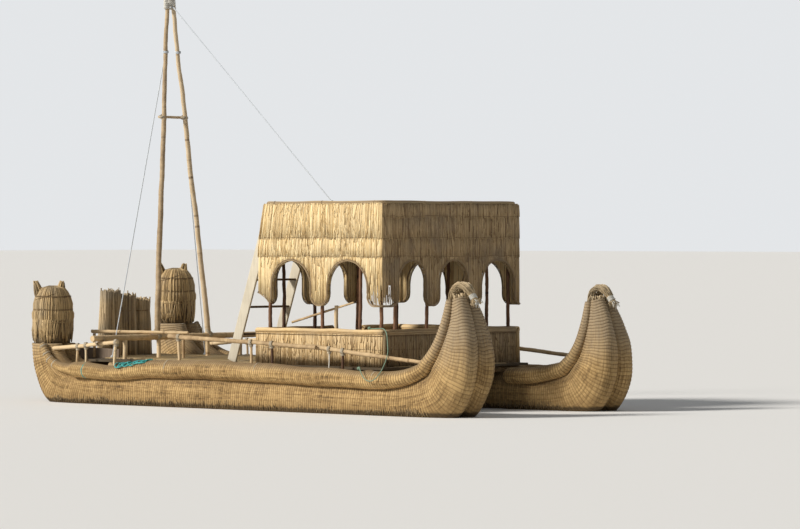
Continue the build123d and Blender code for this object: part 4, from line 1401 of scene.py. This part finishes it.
def addStays():
    stays = Bunch()
    top = legPoint(mast["headZ"] - mast["forestayDrop"], 0)
    foot = leaned((room["aft"] + halfWall, 0, room["top"] + 2 * topRoll["radius"] + mast["stay"]))
    twistedRope(stays, top, foot, mast["stay"])
    footKnot(stays, foot - (0, 0, 0.01), 0.020)
    lashing(stays, top, (0.3, 0, 1), 0.055, 3, mast["knotRope"])
    stays.piece("forestay", "stay", "pale_line", "forestay")
    shrouds = Bunch()
    for side in sides:
        top = legPoint(mast["shroudZ"], side)
        foot = np.array((mast["shroudFoot"][0], side * mast["shroudFoot"][1], room["deck"] + 0.02))
        twistedRope(shrouds, top, foot, mast["stay"])
        lashing(shrouds, top, (0.05, 0, 1), 0.050, 3, 0.007)
        footKnot(shrouds, foot, 0.018)
    shrouds.piece("shrouds", "stay", "pale_line", "shrouds")


addMastPoles()
addMastLashings()
addMasthead()
addStays()
print("mast")


# Poles in and under the pavilion
roomPoles = {
    "rowX": [1.42, 2.32], "endY": (-1.21, -0.40, 0.70), "gap": 0.045, "postTop": 2.65,
    "post": (0.035, 0.029, 0.035, 0.016), "beamZ": 2.70, "beam": (0.048, 0.044, 0.01),
    "lashZ": 2.66, "lash": (0.056, 3, 0.007, 0.4),
}


def addRoomPoles():
    clearance = parapet["cap"] - halfWall + roomPoles["gap"]
    rowAft, rowFore = insideAft + clearance, insideFore - clearance
    inner, outer = room["stbd"] + room["thick"], room["port"] - room["thick"]
    rows = [rowAft, *roomPoles["rowX"], rowFore]
    places = [(x, y) for x in rows for y in (inner + clearance, outer - clearance)]
    places += [(x, y) for x in (rowAft, rowFore) for y in roomPoles["endY"]]
    joinPoles("roomPosts", [barkPole((x, y, room["deck"]), (x, y, roomPoles["postTop"]),
                                     *roomPoles["post"]) for x, y in places],
              "post", "dark_post", "room_posts")
    z = roomPoles["beamZ"]
    joinPoles("roofBeams", [barkPole((x, inner, z), (x, outer, z), *roomPoles["beam"])
                            for x in rows], "pole", "pale_pole", "roof_beams")
    for x, y in places:
        lashing(paleLines, (x, y, roomPoles["lashZ"]), (0, 1, 0.5), *roomPoles["lash"])


# Two poles beside the others: one inside the rail, one inside the starboard parapet with its post
loosePoles = {
    "pole": ((-4.70, -1.20), (-2.74, -0.65)), "radius": 0.034, "tip": 0.028,
    "railY": -1.50, "rail": ((0.66, 1.52), (2.12, 1.88)), "railRadius": 0.022, "railTip": 0.018,
    "postX": 1.70, "postTop": 1.82, "postRadius": 0.036, "postTip": 0.033,
}


def addLoosePoles():
    z = legFoot + loosePoles["radius"]
    aft, fore = loosePoles["pole"]
    onePole("innerPole", "pole", "inner_pole", (*aft, z), (*fore, z), loosePoles["radius"],
            loosePoles["tip"], 0.02)
    x, y = loosePoles["postX"], loosePoles["railY"]
    (aftX, aftZ), (foreX, foreZ) = loosePoles["rail"]
    joinPoles("innerRail", [barkPole((aftX, y, aftZ), (foreX, y, foreZ), loosePoles["railRadius"],
                                     loosePoles["railTip"], 0.02),
                            barkPole((x, y, room["deck"]), (x, y, loosePoles["postTop"]),
                                     loosePoles["postRadius"], loosePoles["postTip"])],
              "pole", "pale_pole")


addRoomPoles()
addLoosePoles()
print("room poles")


# Ladder: two sawn planks that lean on the aft wall, with dark treads
ladder = {"foot": -0.80, "top": 3.17, "width": 0.200, "thick": 0.040, "places": [-1.40, -0.35],
          "rise": 0.48, "count": 4, "depth": 0.170, "treadThick": 0.036, "worn": 0.004,
          "bevel": 0.006}


def plankBlock(size, cuts):
    bpy.ops.object.select_all(action="DESELECT")
    bpy.ops.mesh.primitive_cube_add(size=1)
    plank = bpy.context.active_object
    plank.scale = size
    bpy.ops.object.transform_apply(location=False, rotation=False, scale=True)
    bpy.ops.object.mode_set(mode="EDIT")
    bpy.ops.mesh.select_all(action="SELECT")
    bpy.ops.mesh.bevel(offset=ladder["bevel"], segments=2)
    bpy.ops.mesh.select_all(action="SELECT")
    bpy.ops.mesh.subdivide(number_cuts=cuts)
    bpy.ops.object.mode_set(mode="OBJECT")
    return plank


def wornPlank(plank, location, rotation, amount):
    plank.location, plank.rotation_euler = location, rotation
    bpy.ops.object.transform_apply(location=True, rotation=True, scale=True)
    roughen(plank, "worn", poleShapes["bark"], amount)
    return plank


def addLadder():
    rise = ladder["top"] - room["deck"]
    lean = math.atan2(rise, room["aft"] - ladder["foot"])
    shift = ladder["width"] / math.sin(lean)
    length = rise / math.sin(lean)
    lowX = ladder["foot"] - shift / 2
    middle = np.array((lowX + (rise / 2) / math.tan(lean), 0, room["deck"] + rise / 2))
    planks = []
    for y in ladder["places"]:
        plank = plankBlock((ladder["width"], ladder["thick"], length - 0.05), 6)
        planks.append(wornPlank(plank, middle + (0, y, 0), (0, math.pi / 2 - lean, 0),
                                ladder["worn"]))
    joinPoles("ladderPlanks", planks, "plank", "grey_plank", "ladder_planks")
    treads = []
    for step in range(1, ladder["count"] + 1):
        z = room["deck"] + step * ladder["rise"]
        x = lowX + (z - room["deck"]) / math.tan(lean)
        span = ladder["places"][1] - ladder["places"][0] - ladder["thick"]
        tread = plankBlock((ladder["depth"], span, ladder["treadThick"]), 4)
        centre = (x, sum(ladder["places"]) / 2, z + ladder["treadThick"] / 2)
        treads.append(wornPlank(tread, centre, (0, 0, 0), ladder["worn"]))
    joinPoles("ladderTreads", treads, "tread", "grey_plank", "ladder_treads")


# A dark board at the stern: painted shade, a stand-in for the shadow over the deck behind the stern's
# rolls
sternShadeBoard = {"size": (1.30, 0.035, 0.20), "place": (-4.66, -1.155, 0.87), "turn": (0, 0.03, 0),
              "worn": 0.006}


def addSternShadeBoard():
    board = wornPlank(plankBlock(sternShadeBoard["size"], 5), sternShadeBoard["place"], sternShadeBoard["turn"],
                      sternShadeBoard["worn"])
    joinPoles("sternShadeBoard", [board], "board", "grey_plank")


addLadder()
addSternShadeBoard()
print("ladder")


# Stern heads: barrels of upright reeds with two ears
head = {
    "profile": [(0.335, 0.0), (0.366, 0.25), (0.372, 0.56), (0.330, 0.85), (0.205, 1.01),
                (0.05, 1.05)],
    "heights": (0.37, 0.40, 0.47, 0.54, 0.60, 0.72, 0.84, 0.93, 1.00, 1.045),
    "reeds": 180, "radius": 0.0118, "bands": [0.40, 0.60, 0.84], "squeeze": (0.016, 0.03),
    "rowStep": 0.012, "worn": 210, "wornTop": 0.43, "wornFoot": 0.22, "wornReach": 0.055,
    "ears": [(-0.15, -0.19), (0.07, 0.11)], "earReeds": 60, "earRadius": 0.011, "earZ": 0.94,
    "earFoot": -0.17, "earLength": (0.29, 0.37), "earWidth": ((0, 0.45, 1), (0.105, 0.095, 0.040)),
    "core": 0.026, "coreTop": 1.02, "bandRope": 0.006, "bandGap": 0.016, "bandWave": 0.006,
    "slant": (0.88, 0.10),
}


def headRadius(height):
    radii, heights = zip(*head["profile"])
    return np.interp(height, heights, radii)


def headBase(side):
    top = hull["rows"][0]
    shift, lift = hull["sternShift"][side]
    return np.array((top[0] + shift, hullMiddle(side), top[1] + lift))


def addBarrel(reeds, base):
    count, heights = head["reeds"], np.array(head["heights"])
    squeeze = np.zeros(len(heights))
    for band in head["bands"]:
        squeeze += head["squeeze"][0] * np.exp(-((heights - band) / head["squeeze"][1]) ** 2)
    for row in range(2):
        turn = (np.arange(count) + 0.5 * row) / count * wholeTurn + chance.normal(0, 0.01, count)
        reach = headRadius(heights)[None, :] - squeeze - head["rowStep"] * row + chance.normal(
            0, 0.004, (count, 1)) + 0.002 + chance.normal(0, 0.0018, (count, len(heights)))
        sway = turn[:, None] + chance.normal(0, 0.02, (count, 1)) * (heights - 0.36)
        paths = np.stack([base[0] + reach * np.cos(sway), base[1] + reach * np.sin(sway),
                          np.broadcast_to(base[2] + heights, reach.shape)], axis=-1)
        widths = head["radius"] * chance.uniform(0.7, 1.2, (count, 1)) * np.minimum(
            1, 0.35 + headRadius(heights) * 2.2)
        reeds.tubes(paths, widths, 4, besideUpright)


def addWornReeds(reeds, base):
    # reeds below the lowest band, loose and worn on the aft side
    count = head["worn"]
    turn = chance.random(count) * wholeTurn
    aft = 0.5 - 0.5 * np.cos(turn)
    lowHeight = head["wornFoot"] * chance.random(count)
    steps = np.linspace(0, 1, 5)
    level = head["wornTop"] + steps * (lowHeight - head["wornTop"])[:, None]
    loose = (0.004 + head["wornReach"] * aft ** 2 * chance.random(count))[:, None] * steps ** 1.5
    reach = headRadius(level) + loose - 0.004
    sway = turn[:, None] + chance.normal(0, 0.09, (count, 1)) * steps
    paths = np.stack([base[0] + reach * np.cos(sway), base[1] + reach * np.sin(sway),
                      base[2] + level], axis=-1)
    reeds.tubes(paths, head["radius"] * chance.uniform(0.6, 1.1, (count, 1)), 4, besideUpright)


def addEar(reeds, base, earX, earY):
    count = head["earReeds"]
    angle = chance.random(count) * wholeTurn
    depth = np.sqrt(chance.random(count))
    steps = np.linspace(0, 1, 5)
    wide = np.interp(steps, *head["earWidth"])
    rise = head["earFoot"] + steps[None, :] * chance.uniform(*head["earLength"], (count, 1))
    spread = 0.85 + 0.45 * steps
    paths = np.stack([base[0] + earX * spread + depth[:, None] * np.cos(angle)[:, None] * wide,
                      base[1] + earY * spread + depth[:, None] * np.sin(angle)[:, None] * wide,
                      base[2] + head["earZ"] + rise], axis=-1)
    reeds.tubes(paths, head["earRadius"], 4, besideUpright)


# a near-black core inside each head: painted shade in the gaps between its reeds
def addHeadCore(label, base):
    core = Bunch()
    levels = np.linspace(0.0, head["coreTop"], 14)
    path = np.stack([np.full(14, base[0]), np.full(14, base[1]), base[2] + levels], axis=-1)
    core.tubes([path], [headRadius(levels) - head["core"]], 28, np.array((1.0, 0, 0)))
    core.piece(f"headCore_{label}", "core", "head_reed")


def addHeadBands(label, base):
    bands, rope = Bunch(), head["bandRope"]
    turn = np.linspace(0, wholeTurn, 49)
    for height in head["bands"]:
        reach = headRadius(height) - 0.003
        for shift in (0, head["bandGap"]):
            addRing(bands, base, turn, reach, reach,
                    height + shift + head["bandWave"] * np.sin(3 * turn), rope)
    middle, tilt = head["slant"]
    slant = middle + tilt * np.cos(turn - 0.7)
    reach = headRadius(slant) + 0.004
    addRing(bands, base, turn, reach, reach, slant, rope)
    bands.piece(f"headBands_{label}", "twine", "head_reed")


for side, label in sides.items():
    base, reeds = headBase(side), Bunch()
    addBarrel(reeds, base)
    addWornReeds(reeds, base)
    for ear in head["ears"]:
        addEar(reeds, base, *ear)
    reeds.piece(f"sternHead_{label}", "head", "head_reed", f"stern_head_{label}")
    addHeadCore(label, base)
    addHeadBands(label, base)
print("stern heads")


# Deck and roof floor: reeds laid side by side across the slabs
deckMats = {
    "deckReeds": ((-4.14, -1.40), (3.12, 1.40)), "sternDeckReeds": ((-5.32, -1.08), (-4.16, 1.08)),
    "deckRadius": 0.016, "deckPitch": 0.030, "roofRadius": 0.014, "roofPitch": 0.027,
    "wander": 0.003, "unevenness": 0.002, "jitter": 0.002, "margin": 0.01, "stations": 6,
}


def addMat(name, low, high, z, radius, pitch):
    mat, stations = Bunch(), deckMats["stations"]
    places = np.arange(low[0] + radius, high[0] - radius, pitch)
    places = places + chance.normal(0, deckMats["jitter"], len(places))
    steps = np.linspace(low[1] + deckMats["margin"], high[1] - deckMats["margin"], stations)
    rows = [np.column_stack([place + chance.normal(0, deckMats["wander"], stations), steps,
                             z + chance.normal(0, deckMats["unevenness"], stations)])
            for place in places]
    mat.tubes(rows, radius * chance.uniform(0.8, 1.1, (len(rows), 1)), 4)
    mat.piece(name, "deck", "deck_reed")


for name in ("deckReeds", "sternDeckReeds"):
    addMat(name, *deckMats[name], room["deck"], deckMats["deckRadius"], deckMats["deckPitch"])
roofLow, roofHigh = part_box("roof_floor")
addMat("roofReeds", roofLow, roofHigh, roofHigh[2], deckMats["roofRadius"], deckMats["roofPitch"])
print("mats")


# Reed screen across the stern: three sheaves side by side, bound twice
screen = {"middle": -5.075, "half": 0.62, "height": 1.27, "drop": 0.21, "thick": 0.215,
          "sheaves": [(-0.36, 0.27, 0.30), (0.03, 0.205, 0.16), (0.41, 0.20, 0.16)],
          "rows": [(150, 0.96, 1.0), (110, 0.2, 0.9)],      # reeds and their share of the depth
          "radius": 0.012, "bands": [0.30, 0.84], "waist": (0.055, 0.06), "splay": 0.06,
          "bandRope": 0.009, "bandWave": 0.008}


def addSheafReeds(reeds, middleY, wide, taper, tall, count, low, high):
    levels = np.linspace(0, 1, 6)
    angle = np.linspace(0, wholeTurn, count, endpoint=False) + chance.normal(0, 0.03, count)
    depth = chance.uniform(low, high, count)[:, None]
    top = tall * (0.975 + 0.02 * (1 - depth)) + chance.normal(0, 0.03, (count, 1))
    height = levels * top
    squeeze, extent = screen["waist"]
    narrow = 1 - taper * levels - sum(
        squeeze * np.exp(-((height - band) / extent) ** 2) for band in screen["bands"])
    reach = depth * narrow * (1 + screen["splay"] * (height / tall).clip(0.9, 1.05) ** 12)
    sway = angle[:, None] + chance.normal(0, 0.05, (count, 1)) * levels
    paths = np.stack([screen["middle"] + screen["thick"] * reach * np.cos(sway),
                      middleY + wide * reach * np.sin(sway), room["deck"] + height], axis=-1)
    reeds.tubes(paths, screen["radius"] * chance.uniform(0.7, 1.25, (count, 1)), 4, besideUpright)


def addScreen():
    reeds, bands = Bunch(), Bunch()
    turn = np.linspace(0, wholeTurn, 41)
    for middleY, wide, taper in screen["sheaves"]:
        tall = screen["height"] - screen["drop"] * (middleY + screen["half"])
        for row in screen["rows"]:
            addSheafReeds(reeds, middleY, wide, taper, tall, *row)
        for band in screen["bands"]:
            reach = 1 - taper * band / tall - 0.02
            addRing(bands, (screen["middle"], middleY, room["deck"] + band), turn,
                    screen["thick"] * reach, wide * reach, screen["bandWave"] * np.sin(2 * turn),
                    screen["bandRope"])
    reeds.piece("sternScreen", "screen", "head_reed", "stern_screen")
    bands.piece("screenBands", "twine", "head_reed")


addScreen()
print("screen")


# Rings of rope on the rolls, at these places along x
rings = {"stern": (-4.99, -4.90, -4.80, -4.66), "sternRope": 0.007, "shiftShare": 0.8,
         "gunwale": (-1.67, 0.55, 3.27), "gunwaleRope": 0.0045, "teal": -3.74, "tealRope": 0.006}


def ropeRing(bunch, path, place, rope):
    index = int(np.argmin(np.abs(path[:, 0] - place)))
    ahead = path[min(index + 1, len(path) - 1), :3] - path[max(index - 1, 0), :3]
    lashing(bunch, path[index, :3], ahead, path[index, 3], 2, rope, 0.08)


def addRings(side, teal):
    shift = hull["sternShift"][side][0] * rings["shiftShare"]
    for place in rings["stern"]:
        ropeRing(paleLines, sternPath(side), place + shift, rings["sternRope"])
    for place in rings["gunwale"]:
        ropeRing(paleLines, gunwalePath(side), place, rings["gunwaleRope"])
    ropeRing(teal, gunwalePath(side), rings["teal"], rings["tealRope"])


# A scrap of teal rope: loops that lie over the starboard roll's top
scrap = {"rows": (3, 6), "loops": 9, "start": -2.80, "step": 0.075, "wander": 0.03,
         "turns": (0.7, 1.4), "along": (0.06, 0.15), "across": (0.05, 0.11), "radius": 0.010,
         "rise": 0.016, "ripple": 0.022}


def addScrap(teal):
    top = rollPath(-1, -1, hull["rows"][slice(*scrap["rows"])])
    for number in range(scrap["loops"]):
        middle = scrap["start"] + scrap["step"] * number + chance.normal(0, scrap["wander"])
        turn = np.linspace(0, wholeTurn * chance.uniform(*scrap["turns"]), 22)
        along = middle + chance.uniform(*scrap["along"]) * np.cos(turn)
        across = chance.uniform(*scrap["across"]) * np.sin(turn + number) - 0.05
        _, y, z, radius = atPlaces(along, top[:, 0], top).T
        reach = radius + scrap["rise"] + scrap["ripple"] * np.abs(np.sin(turn * 1.7 + number))
        lean = across / radius + 0.1
        loop = np.stack([along, y + reach * np.sin(lean), z + reach * np.cos(lean)], axis=1)
        teal.tubes([loop], scrap["radius"], 5, upright)


# Worn reed ends along the waterline, and broken ones on the bows
tatters = {"count": 540, "low": (0.0, 0.06), "high": (0.07, 0.17), "radius": 0.006,
           "places": (0.175, 0.665), "wander": 0.025, "proud": (0.006, 0.022), "lowest": 0.004,
           "torn": [(4.86, 0.62, 26), (4.72, 0.42, 14), (4.95, 0.98, 10)], "tornRadius": 0.0045}


def lobePoints(side, way, levels, places):
    # points of a bundle's skin at the given heights, nearest to the given shares of its length
    rows = hullRows(side, hull["rows"])
    x, z, slope, depth, width = rows[(places * (len(rows) - 1)).astype(int), :5].T
    lean = np.radians(slope)
    rise = ((levels - z) / np.cos(lean)).clip(-depth * 0.98, depth * 0.98)
    out = width * (hull["centre"] + hull["reach"] * np.cos(np.arcsin(rise / depth)))
    return np.stack([x - rise * np.sin(lean), hullMiddle(side) + way * out,
                     z + rise * np.cos(lean)], axis=1)


def addWaterlineReeds():
    ends, count = Bunch(), tatters["count"]
    for side in sides:
        for way in sides:
            places = chance.uniform(*tatters["places"], count)
            starts = lobePoints(side, way, chance.uniform(*tatters["high"], count), places)
            stops = lobePoints(side, way, chance.uniform(*tatters["low"], count), places)
            stops[:, 0] += chance.normal(0, tatters["wander"], count)
            stops[:, 1] += way * chance.uniform(*tatters["proud"], count)
            stops[:, 2] = stops[:, 2].clip(tatters["lowest"], None)
            ends.straight(starts, stops, tatters["radius"] * chance.uniform(0.5, 1.1, count), 3,
                          0.004, 0.6)
    ends.piece("waterlineReeds", "tatter", "hull_reed")


def addBrokenReeds():
    torn = Bunch()
    for x, z, count in tatters["torn"]:
        y = hullMiddle(-1) - chance.uniform(0.02, 0.20, count)
        starts = np.stack([x + chance.normal(0, 0.04, count) - 0.05, y,
                           z + chance.normal(0, 0.06, count)], axis=1)
        fall = chance.uniform(0.04, 0.15, count)
        stops = starts + np.stack([chance.uniform(0.01, 0.09, count), -chance.uniform(0, 0.06, count),
                                   -fall], axis=1)
        torn.straight(starts, stops, tatters["tornRadius"], 3, 0.012, 0.5)
    torn.piece("brokenReeds", "roll", "hull_reed")


addWaterlineReeds()
addBrokenReeds()
tealLines = Bunch()
for side in sides:
    addRings(side, tealLines)
addScrap(tealLines)
tealLines.piece("tealRope", "teal", "green_line")
paleLines.piece("ropeLashings", "lash", "pale_line")
print("rings")


# CAD nodes that stay get their finish here
# deck and roof_floor wear the near-black core reeds: painted shade under the mats
kept = {"crossbeams": "pole", "deck": "core", "roof_floor": "core", "inner_pole_posts": "pole"}
for node, finish in kept.items():
    dress(bpy.data.objects[node], finish)
print("kept nodes", len(kept))


# Pale floor at the waterline, pale world, soft studio lamps
stage = {"floor": 900.0, "colour": (0.80, 0.80, 0.79), "world": (0.86, 0.88, 0.90), "fill": 0.25,
         "seen": 0.9, "tint": (1.0, 0.955, 0.89),
         "lamps": [
             # name, power, width, tilt and turn in degrees
             ("keyLamp", 4.1, 12, 58, -28), ("rimLamp", 0.08, 40, 50, 120)]}


def addFloor():
    bpy.ops.object.select_all(action="DESELECT")
    bpy.ops.mesh.primitive_plane_add(size=stage["floor"], location=(0, 0, 0))
    floor = bpy.context.active_object
    floor.name = "studioFloor"
    finish = Finish("floorPale", 0.9, 0.1)
    finish.shader.inputs["Base Color"].default_value = (*stage["colour"], 1)
    floor.data.materials.append(finish.material)
    floor.select_set(False)


def addWorld():
    # the world is bright where it is seen, and fills the shadows only a little
    world = bpy.data.worlds.new("studioWorld")
    world.use_nodes = True
    tree = world.node_tree
    shader = tree.nodes["Background"]
    shader.inputs["Color"].default_value = (*stage["world"], 1)
    rays = tree.nodes.new("ShaderNodeLightPath")
    strength = tree.nodes.new("ShaderNodeMix")
    strength.data_type = "FLOAT"
    seen = tree.nodes.new("ShaderNodeMath")
    seen.operation, seen.use_clamp = "ADD", True
    tree.links.new(rays.outputs["Is Camera Ray"], seen.inputs[0])
    tree.links.new(rays.outputs["Is Glossy Ray"], seen.inputs[1])
    tree.links.new(seen.outputs[0], strength.inputs[0])
    strength.inputs[2].default_value = stage["fill"]
    strength.inputs[3].default_value = stage["seen"]
    tree.links.new(strength.outputs[0], shader.inputs["Strength"])
    bpy.context.scene.world = world


def addLamps():
    for name, power, width, tilt, turn in stage["lamps"]:
        lamp = bpy.data.lights.new(name, "SUN")
        lamp.energy, lamp.angle, lamp.color = power, math.radians(width), stage["tint"]
        newObject(name, lamp).rotation_euler = (math.radians(tilt), 0, math.radians(turn))


addFloor()
addWorld()
addLamps()
bpy.context.scene.view_settings.view_transform = "Standard"
print("stage")
